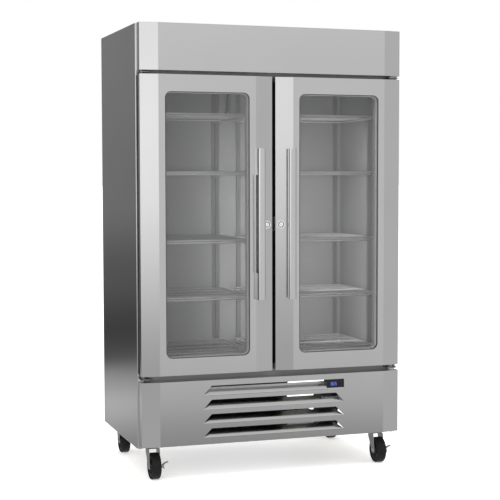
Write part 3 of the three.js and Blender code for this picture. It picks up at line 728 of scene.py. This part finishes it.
def make_handle(side):
    """A bent sheet channel: the web stands beside the window, the grip runs towards the centre of
    the cabinet, and a lip runs back towards the door."""
    low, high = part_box("right_door_handle")
    gauge = 0.003
    front = low.y
    foot = FACE_Y - 0.0004
    path = [
        (HANDLE_ROOT_X - 0.001, foot - 0.0003),
        (HANDLE_CORNER_X - 0.0016, front + gauge / 2 + 0.0006),
        (HANDLE_LIP_X + gauge / 2, front + gauge / 2 + 0.0006),
        (HANDLE_LIP_X + gauge / 2, FACE_Y + HANDLE_LIP_END),
    ]
    section = sheet_section(rounded_path(path, 0.007, 6), gauge)
    section = [(u, min(v, foot)) for u, v in section]
    bar = prism(section, along_z, low.z, high.z)
    slot_depth = [FACE_Y + depth for depth in HANDLE_SLOT_DEPTH]
    slot = prism(rounded_rectangle(slot_depth, HANDLE_SLOT, 0.004, 4), along_x,
                 HANDLE_CORNER_X - 0.012, HANDLE_ROOT_X + 0.01)
    door_piece(side, "handle_bar", cut(bar, slot), steel_handle, "stainless_handle",
               replaces=[f"{side}_door_handle"], edge=0.0005)


def make_lock(side):
    """A cam lock: a thin plate on the door, a bright ring, a groove coloured black as painted shade, and the
    plug with its keyway, filled with black as painted shade.
    """
    def add(name, bm, material, slot, **options):
        bm.transform(lock_transform())
        door_piece(side, name, bm, material, slot, **options)

    plate = cut(
        prism(rounded_rectangle((-0.0200, 0.0200), (-0.036, 0.036), 0.006), along_y, -0.0007, 0.0003),
        prism(circle((0, 0), 0.0106, 32), along_y, -0.01, 0.01),
    )
    add("lock_plate", plate, steel_door, "stainless_door", edge=0.0003)

    ring = bmesh.new()
    ring_profile = [
        (0.0146, 0.0002),
        (0.0146, -0.0024),
        (0.0152, -0.0030),
        (0.0174, -0.0030),
        (0.0182, -0.0018),
        (0.0182, 0.0002),
        (0.0146, 0.0002),
    ]
    add_lathe(ring, along_y, (0, 0), ring_profile, 40)
    add("lock_ring", ring, lock_metal, "zinc_plate")

    # The groove ring is black as painted shade in the crevice around the plug.
    groove = bmesh.new()
    groove_profile = [(0.0105, 0.002), (0.0105, -0.0011), (0.0145, -0.0011), (0.0145, 0.002), (0.0105, 0.002)]
    add_lathe(groove, along_y, (0, 0), groove_profile, 40)
    add("lock_groove", groove, black_plastic, "black_plastic")

    plug = bmesh.new()
    plug_profile = [(0, -0.0034), (0.0088, -0.0034), (0.0100, -0.0022), (0.0100, 0.026), (0, 0.026)]
    add_lathe(plug, along_y, (0, 0), plug_profile, 32)
    plug = cut(plug, box_mesh((-0.0015, 0.0015), (-0.006, 0.001), (-0.005, 0.005)))
    add_box(plug, (-0.005, 0.005), (0.023, 0.026), (-0.005, 0.022))
    add("key_plug", plug, lock_metal, "zinc_plate", body="lock", replaces=[f"{side}_lock_plug"],
        edge=0.0003)
    # A black block in the keyway slot, as painted shade in the recess.
    keyway = box_mesh((-0.0014, 0.0014), (-0.0024, 0.0009), (-0.0049, 0.0049))
    add("keyway", keyway, black_plastic, "zinc_plate", body="lock")


# ---- Hinges ----
def make_hinge(level, side):
    low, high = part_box(f"{level}_hinge_right")
    plate = (DOOR_Z[1] + 0.006, DOOR_Z[1] + 0.012)
    if level == "bottom":
        plate = (low.z, low.z + 0.006)
    bm = bmesh.new()
    corner = 0.012
    x = (low.x, high.x)
    y = (low.y, high.y)
    outline = [(x[0], y[1]), (x[1], y[1])]
    for centre, start in ((x[1] - corner, 0), (x[0] + corner, 90)):
        for angle in (math.radians(start + 15 * k) for k in range(7)):
            outline.append((centre + corner * math.cos(angle), y[0] + corner * (1 - math.sin(angle))))
    add_prism(bm, outline, along_z, plate[0], plate[1])
    pivot = (0.640, low.y + 0.013)
    add_rod(bm, along_z, pivot, 0.006, low.z, high.z, 24)
    add_rod(bm, along_z, pivot, 0.0095, plate[0] - 0.0018, plate[1] + 0.0018, 6)
    piece(f"{level}_hinge_plate_{side}", mirrored(bm, side), hinge_metal_painted_shade, "zinc_plate",
          [f"{level}_hinge_{side}"], edge=0.0006)


# ---- Interior ----
def shelf_mesh(low, high):
    """A wire shelf: a double front rim with short posts, side rims, and wires front to back."""
    bm = bmesh.new()
    rod = 0.0034
    fine = 0.0019
    x0, x1 = low.x + rod, high.x - rod
    y0, y1 = low.y + rod, high.y - rod
    top = high.z - rod
    bottom = low.z + rod
    for z in (top - fine, bottom):
        loop = [(x0, y0, z), (x1, y0, z), (x1, y1, z), (x0, y1, z)]
        corners = rounded_path(loop + loop[:2], 0.012, 4)
        add_tube(bm, corners[5:-1], rod, 8, closed=True)
    posts = 22
    for k in range(posts + 1):
        x = x0 + (x1 - x0) * (k + 0.5) / (posts + 1)
        for y in (y0, y1):
            add_tube(bm, [(x, y, bottom), (x, y, top - fine)], fine, 6)
    count = round((x1 - x0) / 0.021)
    for k in range(1, count):
        x = x0 + (x1 - x0) * k / count
        add_tube(bm, [(x, y0, top + 0.0008), (x, y1, top + 0.0008)], fine, 6)
    for part in (0.25, 0.5, 0.75):
        y = y0 + (y1 - y0) * part
        add_tube(bm, [(x0, y, top - fine - rod), (x1, y, top - fine - rod)], rod, 8)
    return bm


def make_shelves():
    for section in ("left", "right"):
        for level in range(1, 6):
            node = f"shelf_{section}_{level}"
            low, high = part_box(node)
            piece(f"wire_{node}", shelf_mesh(low, high), shelf_metal, "shelf_wire", [node])


def make_standards():
    """Slotted standards on the rear wall, each with a shelf clip at every level. The centre-left one also has
    a dark strip on its left side, a painted shadow of the standard, and its clips widen over that strip.
    """
    levels = [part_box(f"shelf_left_{n}")[0].z for n in range(1, 6)]
    pitch, slot_height, slot_half = 0.0254, 0.012, 0.0027
    for place in ("far_left", "centre_left", "centre_right", "far_right"):
        node = f"shelf_standard_{place}"
        low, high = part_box(node)
        centre = (low.x + high.x) / 2
        slots = bmesh.new()
        for k in range(int((high.z - low.z - 0.04) / pitch)):
            z = low.z + 0.02 + k * pitch
            add_box(slots, (centre - slot_half, centre + slot_half), (low.y - 0.01, low.y + 0.004),
                    (z, z + slot_height))
        strip = box_mesh((low.x, high.x), (low.y, high.y), (low.z, high.z))
        piece(f"slotted_{place}", cut(strip, slots), standard_metal, "liner_metal", [node])
        # The centre-left standard gets a painted shadow: a dark strip on its left side and wider clips.
        painted_shadow = PAINTED_SHADOW_WIDTH if place == "centre_left" else 0.0
        if painted_shadow:
            shadow_strip = box_mesh((low.x - painted_shadow, low.x - 0.0002), (high.y - 0.0025, high.y), (low.z, high.z))
            piece(f"flange_{place}", shadow_strip, standard_metal, "liner_metal")
        clips = bmesh.new()
        for z in levels:
            outline = [
                (low.x - painted_shadow - 0.007, z - 0.0005),
                (high.x + 0.007, z - 0.0005),
                (high.x, z - 0.016),
                (low.x - painted_shadow, z - 0.016),
            ]
            add_prism(clips, outline, along_y, low.y - 0.006, low.y - 0.0005)
        piece(f"clips_{place}", clips, standard_metal, "zinc_plate", edge=0.0008)


def make_front_standards():
    """Standards near the doors, one on each side wall."""
    low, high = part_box("shelf_standard_far_left")
    shelf_low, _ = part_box("shelf_left_1")
    wall = CAVITY_HALF_WIDTH
    for name, x in (("left", (-wall, -wall + 0.006)), ("right", (wall - 0.006, wall))):
        bm = box_mesh(x, (shelf_low.y + 0.030, shelf_low.y + 0.052), (low.z, high.z))
        piece(f"front_standard_{name}", bm, standard_metal, "liner_metal", edge=0.0005)


def make_liner():
    """The liner, duct panel, foam and centre mullion given their finishes, the mullion's strip and latch
    strike, and the light bar's lens and end caps.
    """
    for name in ("inner_liner", "rear_duct_panel"):
        finish_node(name, liner_metal)
    finish_node("foam_insulation", foam_surface)
    finish_node("centre_mullion", black_plastic)
    low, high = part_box("centre_mullion")
    trim = box_mesh((low.x + 0.006, high.x - 0.006), (low.y - 0.0002, low.y + 0.001), (low.z, high.z))
    piece("mullion_strip", trim, black_rubber, "mullion_trim", edge=0.0003)
    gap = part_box("right_door_gasket")[0].x - 0.001
    strike = box_mesh((-gap, gap), (low.y - 0.0030, low.y - 0.0004), (LOCK_Z - 0.034, LOCK_Z + 0.036))
    piece("latch_strike", strike, zinc, "zinc_plate", edge=0.0005)

    low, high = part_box("light_bar")
    lens = prism(
        [(low.x + 0.004, low.y + 0.002), (high.x - 0.004, low.y + 0.002), (high.x - 0.009, high.y),
         (low.x + 0.009, high.y)], along_z, low.z + 0.012, high.z - 0.012)
    piece("light_lens", lens, lamp_glow, "light_diffuser", ["light_bar"], edge=0.002)
    ends = bmesh.new()
    for z in ((low.z, low.z + 0.012), (high.z - 0.012, high.z)):
        add_box(ends, (low.x, high.x), (low.y, high.y), z)
    piece("light_end_caps", ends, white_plastic, "light_diffuser", edge=0.0015)


def make_drain_tube():
    """The thin tube that hangs between the sections, with a short foot."""
    x = -0.021
    radius = 0.0095
    y = DUCT[0].y - radius - 0.0005
    bm = bmesh.new()
    path = [(x, y, LINER[1].z - 0.045), (x, y, 1.775), (x - 0.016, y, 1.765)]
    add_tube(bm, rounded_path(path, 0.008), radius, 14)
    piece("drain_tube", bm, standard_metal, "black_plastic")


def finish_node(name, material):
    """Gives a carried-over CAD node a better material."""
    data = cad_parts[name].data
    data.materials.clear()
    data.materials.append(material)


def make_duct_grille():
    """A wire guard over the duct panel's air intake."""
    low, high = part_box("evaporator_fan")
    centre = ((low.x + high.x) / 2, (low.z + high.z) / 2)
    y = DUCT[0].y - 0.003
    bm = bmesh.new()
    for radius in (0.016, 0.030, 0.044, 0.058, 0.072, 0.086):
        ring = [(u, y, v) for u, v in circle(centre, radius, 40)]
        add_tube(bm, ring, 0.0013, 6, closed=True)
    for k in range(4):
        angle = math.radians(45 + 90 * k)
        outer = (centre[0] + 0.088 * math.cos(angle), y, centre[1] + 0.088 * math.sin(angle))
        inner = (centre[0] + 0.014 * math.cos(angle), y, centre[1] + 0.014 * math.sin(angle))
        add_tube(bm, [inner, outer], 0.0016, 6)
    piece("intake_guard", bm, shelf_metal, "shelf_wire")
    finish_node("evaporator_fan", black_plastic)


# ---- Controller ----
SEGMENTS = {
    "3": "abgcd",
    "6": "acdefg",
    "5": "acdfg",
}


def add_digit(bm, digit, left, bottom, width, height, y):
    stroke = width * 0.14
    middle = bottom + height / 2
    top = bottom + height
    across = (left + stroke, left + width - stroke)
    near, far = (left, left + stroke), (left + width - stroke, left + width)
    lower = (bottom + stroke / 2, middle - stroke / 2)
    upper = (middle + stroke / 2, top - stroke / 2)
    bars = {
        "a": (across, (top - stroke, top)),
        "g": (across, (middle - stroke / 2, middle + stroke / 2)),
        "d": (across, (bottom, bottom + stroke)),
        "f": (near, upper),
        "b": (far, upper),
        "e": (near, lower),
        "c": (far, lower),
    }
    for name in SEGMENTS[digit]:
        x, z = bars[name]
        add_box(bm, x, (y - 0.0004, y + 0.0002), z)


def make_controller():
    low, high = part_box("controller")
    front = low.y
    bezel = prism(
        rounded_rectangle((low.x, high.x), (low.z, high.z), 0.004, 5), along_y, front, high.y
    )
    pockets = []
    for name in ("button_up", "button_down"):
        b_low, b_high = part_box(name)
        grow = 0.0004
        pockets.append(box_mesh(
            (b_low.x - grow, b_high.x + grow),
            (front - 0.01, front + 0.009),
            (b_low.z - grow, b_high.z + grow),
        ))
    window = box_mesh(
        (low.x + 0.012, high.x - 0.028),
        (front - 0.01, front + 0.0012),
        (low.z + 0.009, high.z - 0.009),
    )
    bezel = cut(bezel, window, *pockets)
    piece("controller_bezel", bezel, bezel_gloss, "black_plastic", ["controller"], edge=0.0006)
    digits = bmesh.new()
    height = 0.0150
    width = 0.0080
    pitch = 0.0118
    left = low.x + 0.0190
    bottom = (low.z + high.z) / 2 - height / 2
    for index, digit in enumerate("365"):
        add_digit(digits, digit, left + index * pitch, bottom, width, height, front + 0.0010)
    point_x = (left + 0.0208, left + 0.0222)
    add_box(digits, point_x, (front + 0.0006, front + 0.0012), (bottom, bottom + 0.0014))
    piece("controller_digits", digits, digit_glow, "black_plastic")
    for name in ("button_up", "button_down"):
        b_low, b_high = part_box(name)
        outline = rounded_rectangle((b_low.x, b_high.x), (b_low.z, b_high.z), 0.002, 4)
        cap = prism(outline, along_y, b_low.y, b_high.y)
        piece(f"cap_{name}", cap, black_plastic, "black_plastic", [name], name, edge=0.0006)


# ---- Casters ----
def fork_leg_outline(swivel_y, axle_y):
    outline = [(swivel_y + 0.026, 0.144), (swivel_y - 0.040, 0.144), (swivel_y - 0.042, 0.126)]
    outline.append((axle_y - 0.016, WHEEL_RADIUS + 0.006))
    for k in range(13):
        angle = math.radians(168 + k * 13.5)
        outline.append((axle_y + 0.016 * math.cos(angle), WHEEL_RADIUS + 0.016 * math.sin(angle)))
    outline.append((swivel_y + 0.026, 0.124))
    return outline


def make_caster(end, side):
    node = f"caster_fork_{end}_{side}"
    body = f"caster_{end}_{side}"
    wheel_low, wheel_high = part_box(f"caster_wheel_{end}_{side}")
    fork_low, fork_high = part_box(node)
    x = (wheel_low.x + wheel_high.x) / 2
    axle_y = (wheel_low.y + wheel_high.y) / 2
    swivel_y = axle_y + CASTER_TRAIL
    gauge = FORK_GAUGE
    inner = FORK_GAP
    fork = bmesh.new()
    for start in (x - inner - gauge, x + inner):
        add_prism(fork, fork_leg_outline(swivel_y, axle_y), along_x, start, start + gauge)
    crown = (x - inner - gauge, x + inner + gauge)
    add_box(fork, crown, (swivel_y - 0.030, swivel_y + 0.026), (0.143, 0.146))
    if end == "front":
        pedal_low, pedal_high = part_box(f"brake_pedal_front_{side}")
        for start in (pedal_low.y - 0.0043, pedal_high.y + 0.0003):
            add_box(fork, (x + inner + gauge - 0.001, x + inner + gauge + 0.018), (start, start + 0.004),
                    (PEDAL_PIVOT_Z - 0.006, PEDAL_PIVOT_Z + 0.006))
        add_rod(fork, along_y, pedal_pivot(x), 0.0025, pedal_low.y - 0.0058, pedal_high.y + 0.0058, 16)
    piece(f"fork_{end}_{side}", fork, zinc, "zinc_plate", [node], body, edge=0.0012)

    race = bmesh.new()
    race_profile = [
        (0, 0.1462), (0.0285, 0.1462), (0.0300, 0.1480), (0.0300, 0.1500), (0.0270, 0.1515),
        (0.0270, 0.1530), (0.0290, 0.1545), (0.0290, fork_high.z), (0, fork_high.z),
    ]
    add_lathe(race, along_z, (x, swivel_y), race_profile, 36)
    piece(f"raceway_{end}_{side}", race, zinc, "zinc_plate", body=body)

    nut = 0.0045
    bolt = bmesh.new()
    add_rod(bolt, along_x, (axle_y, WHEEL_RADIUS), 0.0060, fork_low.x + 0.001, x + inner + gauge + nut, 20)
    for start in (x - inner - gauge - nut, x + inner + gauge):
        add_rod(bolt, along_x, (axle_y, WHEEL_RADIUS), 0.0095, start, start + nut, 6)
    piece(f"axle_bolt_{end}_{side}", bolt, bright_pin, "zinc_plate", body=body, edge=0.0005)
    make_wheel(end, side, x, axle_y)
    if end == "front":
        make_pedal(side, x)


def make_wheel(end, side, x, axle_y):
    """A rubber tread on a black hub with ribs."""
    half = WHEEL_HALF_WIDTH
    tyre = bmesh.new()
    shoulder = [(0.0465, 0.003), (0.0500, 0.0008), (0.0570, 0.0), (0.0600, 0.0010), (0.0620, 0.0028),
                (0.0630, 0.0052), (WHEEL_RADIUS, 0.0085)]
    profile = [(radius, t - half) for radius, t in shoulder]
    profile += [(radius, half - t) for radius, t in reversed(shoulder)]
    profile.append(profile[0])
    add_lathe(tyre, along_x, (axle_y, WHEEL_RADIUS), [(r, x + t) for r, t in profile], 64)
    node = f"caster_wheel_{end}_{side}"
    body = f"wheel_{end}_{side}"
    piece(f"tread_{end}_{side}", tyre, tread, "caster_tread", [node], body)

    hub = bmesh.new()
    hub_profile = [
        (0.0065, -half - 0.002), (0.0135, -half - 0.002), (0.0150, -half), (0.0160, -half + 0.007),
        (0.0400, -half + 0.007), (0.0425, -half + 0.003), (0.0464, -half + 0.003),
        (0.0464, half - 0.003), (0.0425, half - 0.003), (0.0400, half - 0.007), (0.0160, half - 0.007),
        (0.0150, half), (0.0135, half + 0.002), (0.0065, half + 0.002), (0.0065, -half - 0.002),
    ]
    add_lathe(hub, along_x, (axle_y, WHEEL_RADIUS), [(r, x + t) for r, t in hub_profile], 48)
    for k in range(6):
        angle = math.radians(60 * k)
        turn = Matrix.Translation((x, axle_y, WHEEL_RADIUS)) @ Matrix.Rotation(angle, 4, "X")
        rib = box_mesh((-half + 0.003, half - 0.003), (-0.0022, 0.0022), (0.0145, 0.0415))
        rib.transform(turn)
        join(hub, rib)
    piece(f"hub_{end}_{side}", hub, black_plastic, "caster_tread", body=body)


def pedal_pivot(x):
    return (x + FORK_GAP + FORK_GAUGE + 0.012, PEDAL_PIVOT_Z)


def make_pedal(side, x):
    low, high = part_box(f"brake_pedal_front_{side}")
    pivot = pedal_pivot(x)
    bm = bmesh.new()
    arm = [
        (pivot[0] - 0.001, pivot[1] + 0.004),
        (pivot[0] + 0.012, pivot[1] + 0.0165),
        (pivot[0] + 0.0285, pivot[1] + 0.0205),
    ]
    section = sheet_section(rounded_path(arm, 0.008), 0.003)
    add_prism(bm, section, along_y, low.y, high.y)
    toe = [(pivot[0] + 0.002, pivot[1] - 0.003), (pivot[0] + 0.0100, pivot[1] - 0.0125)]
    section = sheet_section(toe, 0.003)
    add_prism(bm, section, along_y, low.y, high.y)
    tube = [(0.0032, low.y), (0.0060, low.y), (0.0060, high.y), (0.0032, high.y), (0.0032, low.y)]
    add_lathe(bm, along_y, pivot, tube, 24)
    piece(f"pedal_{side}", bm, zinc, "zinc_plate", [f"brake_pedal_front_{side}"], f"brake_front_{side}",
          edge=0.0005)


# ---- Machine compartment ----
def make_condenser():
    low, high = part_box("condenser_coil")
    x0 = low.x + 0.0203
    bm = bmesh.new()
    for x in (x0, high.x - SHEET):
        add_box(bm, (x, x + SHEET), (low.y, high.y), (low.z, high.z))
    for z in (low.z, high.z - SHEET):
        add_box(bm, (x0 + SHEET, high.x - SHEET), (low.y, high.y), (z, z + SHEET))
    piece("condenser_frame", bm, coil_paint, "condenser_fins", ["condenser_coil"])
    fins = bmesh.new()
    fin_y = (low.y + 0.003, high.y - 0.003)
    count = 120
    for k in range(1, count):
        x = x0 + SHEET + (high.x - x0 - 2 * SHEET) * k / count
        add_box(fins, (x - 0.0003, x + 0.0003), fin_y, (low.z + SHEET, high.z - SHEET))
    piece("condenser_fins", fins, coil_paint, "condenser_fins", smooth=False)
    pipes = bmesh.new()
    rows, radius, steps = 8, 0.0046, 8
    pitch = (high.z - low.z - 0.03) / rows
    end = x0 - 0.004
    for row in range(rows):
        z = low.z + 0.015 + pitch * (row + 0.5)
        for y in (low.y + 0.014, high.y - 0.014):
            add_tube(pipes, [(end, y, z), (high.x - SHEET, y, z)], radius, 10)
            if row == rows - 1:
                continue
            angles = [math.pi * k / steps for k in range(steps + 1)]
            bend = [(end - 0.010 * math.sin(a), y, z + pitch * (1 - math.cos(a)) / 2) for a in angles]
            add_tube(pipes, bend, radius, 10)
    piece("condenser_pipes", pipes, copper, "condenser_fins")


def make_machine_parts():
    for name in ("condenser_shroud", "compressor", "electrical_box"):
        finish_node(name, black_paint)
    finish_node("condenser_fan", black_plastic)
    finish_node("evaporator_coil", fin_metal)
    finish_node("base_frame", galvanised)
    low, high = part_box("compressor")
    centre = ((low.x + high.x) / 2, (low.y + high.y) / 2)
    pipes = bmesh.new()
    coil_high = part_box("condenser_coil")[1]
    discharge = [
        (centre[0] + 0.086, centre[1], low.z + 0.10),
        (centre[0] + 0.125, centre[1], low.z + 0.10),
        (centre[0] + 0.125, centre[1] - 0.02, coil_high.z - 0.06),
        (centre[0] + 0.125, coil_high.y + 0.11, coil_high.z - 0.06),
        (coil_high.x + 0.016, coil_high.y + 0.06, coil_high.z - 0.06),
        (coil_high.x + 0.016, coil_high.y - 0.014, coil_high.z - 0.03),
        (coil_high.x - 0.006, coil_high.y - 0.014, coil_high.z - 0.03),
    ]
    add_tube(pipes, rounded_path(discharge, 0.022), 0.0048, 12)
    suction = [
        (centre[0] - 0.082, centre[1] + 0.02, low.z + 0.12),
        (centre[0] - 0.13, centre[1] + 0.02, low.z + 0.12),
        (centre[0] - 0.13, centre[1] + 0.16, low.z + 0.12),
        (centre[0] - 0.13, centre[1] + 0.16, LINER[0].z - 0.006),
    ]
    add_tube(pipes, rounded_path(suction, 0.03), 0.0064, 12)
    piece("refrigerant_pipes", pipes, copper, "black_paint")

    pan_x = (0.16, 0.37)
    pan_y = (low.y - 0.10, high.y + 0.10)
    tray_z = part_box("base_frame")[0].z + 0.0095
    outside = box_mesh(pan_x, pan_y, (tray_z, tray_z + 0.045))
    inside = box_mesh((pan_x[0] + 0.003, pan_x[1] - 0.003), (pan_y[0] + 0.003, pan_y[1] - 0.003),
                      (tray_z + 0.003, tray_z + 0.06))
    piece("condensate_pan", cut(outside, inside), pan_plastic, "black_plastic", edge=0.0015)


# ---- Stage ----
def make_stage():
    floor = box_mesh((-150, 150), (-150, 150), (-0.02, 0))
    mesh = bpy.data.meshes.new("floor")
    floor.to_mesh(mesh)
    floor.free()
    obj = bpy.data.objects.new("floor", mesh)
    scene.collection.objects.link(obj)
    surface = Surface("pale_floor", (0.97, 0.97, 0.97), 0.9, Specular_IOR_Level=0.0, Emission_Strength=0.4)
    surface.vary_color(surface.noise(0.4), 0.004)
    mesh.materials.append(surface.material)
    obj.visible_glossy = False


def add_area_light(name, location, target, size, power):
    data = bpy.data.lights.new(name, "AREA")
    data.shape = "RECTANGLE"
    data.size, data.size_y = size
    data.energy = power
    light = bpy.data.objects.new(name, data)
    scene.collection.objects.link(light)
    light.location = location
    heading = Vector(target) - Vector(location)
    light.rotation_euler = heading.to_track_quat("-Z", "Y").to_euler()
    light.visible_glossy = False
    light.visible_camera = False


# Brightness of the studio by height (the z of a direction), as (z, brightness) stops.
LOWEST, HIGHEST = -1.0, 0.6
BEHIND = [(-1.0, 1.0), (-0.55, 0.9), (-0.40, 0.32), (-0.20, 0.30), (-0.168, 0.58), (-0.150, 0.38),
          (-0.135, 0.08), (-0.116, 0.055), (-0.076, 0.11), (-0.02, 0.20), (0.10, 0.23), (0.60, 0.30)]
BRIGHT_CARD = [(-1.0, 1.0), (-0.40, 0.55), (-0.193, 0.54), (-0.142, 0.48), (-0.1025, 0.71), (-0.076, 0.96),
               (-0.049, 1.14), (-0.0225, 1.26), (0.018, 1.33), (0.111, 1.18), (0.60, 0.9)]
STRAIGHT = [(-1.0, 1.0), (-0.40, 0.50), (-0.193, 0.52), (-0.129, 0.48), (-0.076, 0.57), (-0.049, 0.69),
            (-0.009, 0.88), (0.045, 1.05), (0.11, 1.10), (0.60, 0.9)]
ASIDE = [(-1.0, 1.0), (-0.40, 0.36), (-0.190, 0.33), (-0.168, 0.62), (-0.129, 0.68), (-0.09, 0.73),
         (0.08, 0.74), (0.11, 0.80), (0.60, 0.9)]
FAR_ASIDE = [(-1.0, 1.0), (-0.40, 0.48), (-0.18, 0.56), (-0.16, 0.60), (0.0, 0.62), (0.60, 0.66)]
# The studio by direction: from each start angle to its end the brightness changes over to the
# next list. Angles are in radians from straight in front of the doors, positive towards +X.
SECTORS = [(-1.6, -0.8, BRIGHT_CARD), (-0.10, -0.02, STRAIGHT), (0.05, 0.20, ASIDE),
           (0.45, 0.60, FAR_ASIDE), (1.2, 1.9, BEHIND)]
EVEN_LIGHT = 1.05


def make_world():
    """White to the camera, even light for matt surfaces, and a studio's bands for polished ones."""
    world = bpy.data.worlds.new("studio")
    scene.world = world
    world.use_nodes = True
    nodes = world.node_tree.nodes
    links = world.node_tree.links
    nodes.clear()
    out = nodes.new("ShaderNodeOutputWorld")
    coords = nodes.new("ShaderNodeTexCoord")
    split = nodes.new("ShaderNodeSeparateXYZ")
    links.new(coords.outputs["Generated"], split.inputs["Vector"])

    def math_node(operation, a, b=0.0):
        node = nodes.new("ShaderNodeMath")
        node.operation = operation
        for socket, value in zip(node.inputs, (a, b)):
            if isinstance(value, (int, float)):
                socket.default_value = value
            else:
                links.new(value, socket)
        return node.outputs[0]

    def ramp(value, low, high, stops):
        """A smooth curve through the (place, brightness) stops, over low to high."""
        scaled = math_node("DIVIDE", math_node("SUBTRACT", value, low), high - low)
        node = nodes.new("ShaderNodeValToRGB")
        node.color_ramp.interpolation = "EASE"
        elements = node.color_ramp.elements
        while len(elements) > 1:
            elements.remove(elements[-1])
        for index, (place, level) in enumerate(stops):
            at = (place - low) / (high - low)
            element = elements[0] if index == 0 else elements.new(at)
            element.position = at
            element.color = (level, level, level, 1)
        links.new(scaled, node.inputs["Fac"])
        return node.outputs["Color"]

    def smooth_step(value, start, end):
        node = nodes.new("ShaderNodeMapRange")
        node.interpolation_type = "SMOOTHSTEP"
        node.inputs["From Min"].default_value = start
        node.inputs["From Max"].default_value = end
        links.new(value, node.inputs["Value"])
        return node.outputs["Result"]

    height = split.outputs["Z"]
    azimuth = math_node("ARCTAN2", split.outputs["X"], math_node("MULTIPLY", split.outputs["Y"], -1.0))
    polished = ramp(height, LOWEST, HIGHEST, BEHIND)
    for start, end, bands in SECTORS:
        blend = nodes.new("ShaderNodeMix")
        blend.data_type = "FLOAT"
        links.new(smooth_step(azimuth, start, end), blend.inputs[0])
        links.new(polished, blend.inputs[2])
        links.new(ramp(height, LOWEST, HIGHEST, bands), blend.inputs[3])
        polished = blend.outputs[0]

    rays = nodes.new("ShaderNodeLightPath")
    even, bands, white = (nodes.new("ShaderNodeBackground") for _ in range(3))
    for background in (even, bands, white):
        background.inputs["Color"].default_value = (1, 1, 1, 1)
    even.inputs["Strength"].default_value = EVEN_LIGHT
    links.new(polished, bands.inputs["Strength"])
    matt_or_polished = nodes.new("ShaderNodeMixShader")
    links.new(rays.outputs["Is Glossy Ray"], matt_or_polished.inputs["Fac"])
    links.new(even.outputs[0], matt_or_polished.inputs[1])
    links.new(bands.outputs[0], matt_or_polished.inputs[2])
    seen = nodes.new("ShaderNodeMixShader")
    links.new(rays.outputs["Is Camera Ray"], seen.inputs["Fac"])
    links.new(matt_or_polished.outputs[0], seen.inputs[1])
    links.new(white.outputs[0], seen.inputs[2])
    links.new(seen.outputs[0], out.inputs["Surface"])


# The soft lamps inside the cavity: place across, distance from the duct panel, width and power.
LAMPS = {"interior_centre": (0.06, 0.30, 0.03, 2.2), "interior_right": (0.44, 0.38, 0.30, 2.5)}
LAMP_Z = 1.08
LAMP_LENGTH = 1.2


def make_lights():
    add_area_light("overhead", (0, -1.2, 5.0), (0, 0, 0.5), (5, 5), 150)
    add_area_light("front_fill", (-2.5, -5.0, 2.6), (0, 0, 1.1), (3, 3), 60)
    wall = DUCT[0].y
    for name, (x, reach, width, power) in LAMPS.items():
        add_area_light(name, (x, wall - reach, LAMP_Z), (x, wall, LAMP_Z), (width, LAMP_LENGTH), power)


def main():
    make_camera()
    make_header()
    make_lower_cover()
    for side in ("left", "right"):
        make_side_panel(side)
        make_door(side)
        for level in ("top", "bottom"):
            make_hinge(level, side)
        for end in ("front", "rear"):
            make_caster(end, side)
    make_roof_and_rear()
    make_liner()
    make_shelves()
    make_standards()
    make_front_standards()
    make_drain_tube()
    make_duct_grille()
    make_controller()
    make_condenser()
    make_machine_parts()
    make_stage()
    make_world()
    make_lights()
    scene.view_settings.view_transform = "Standard"


main()
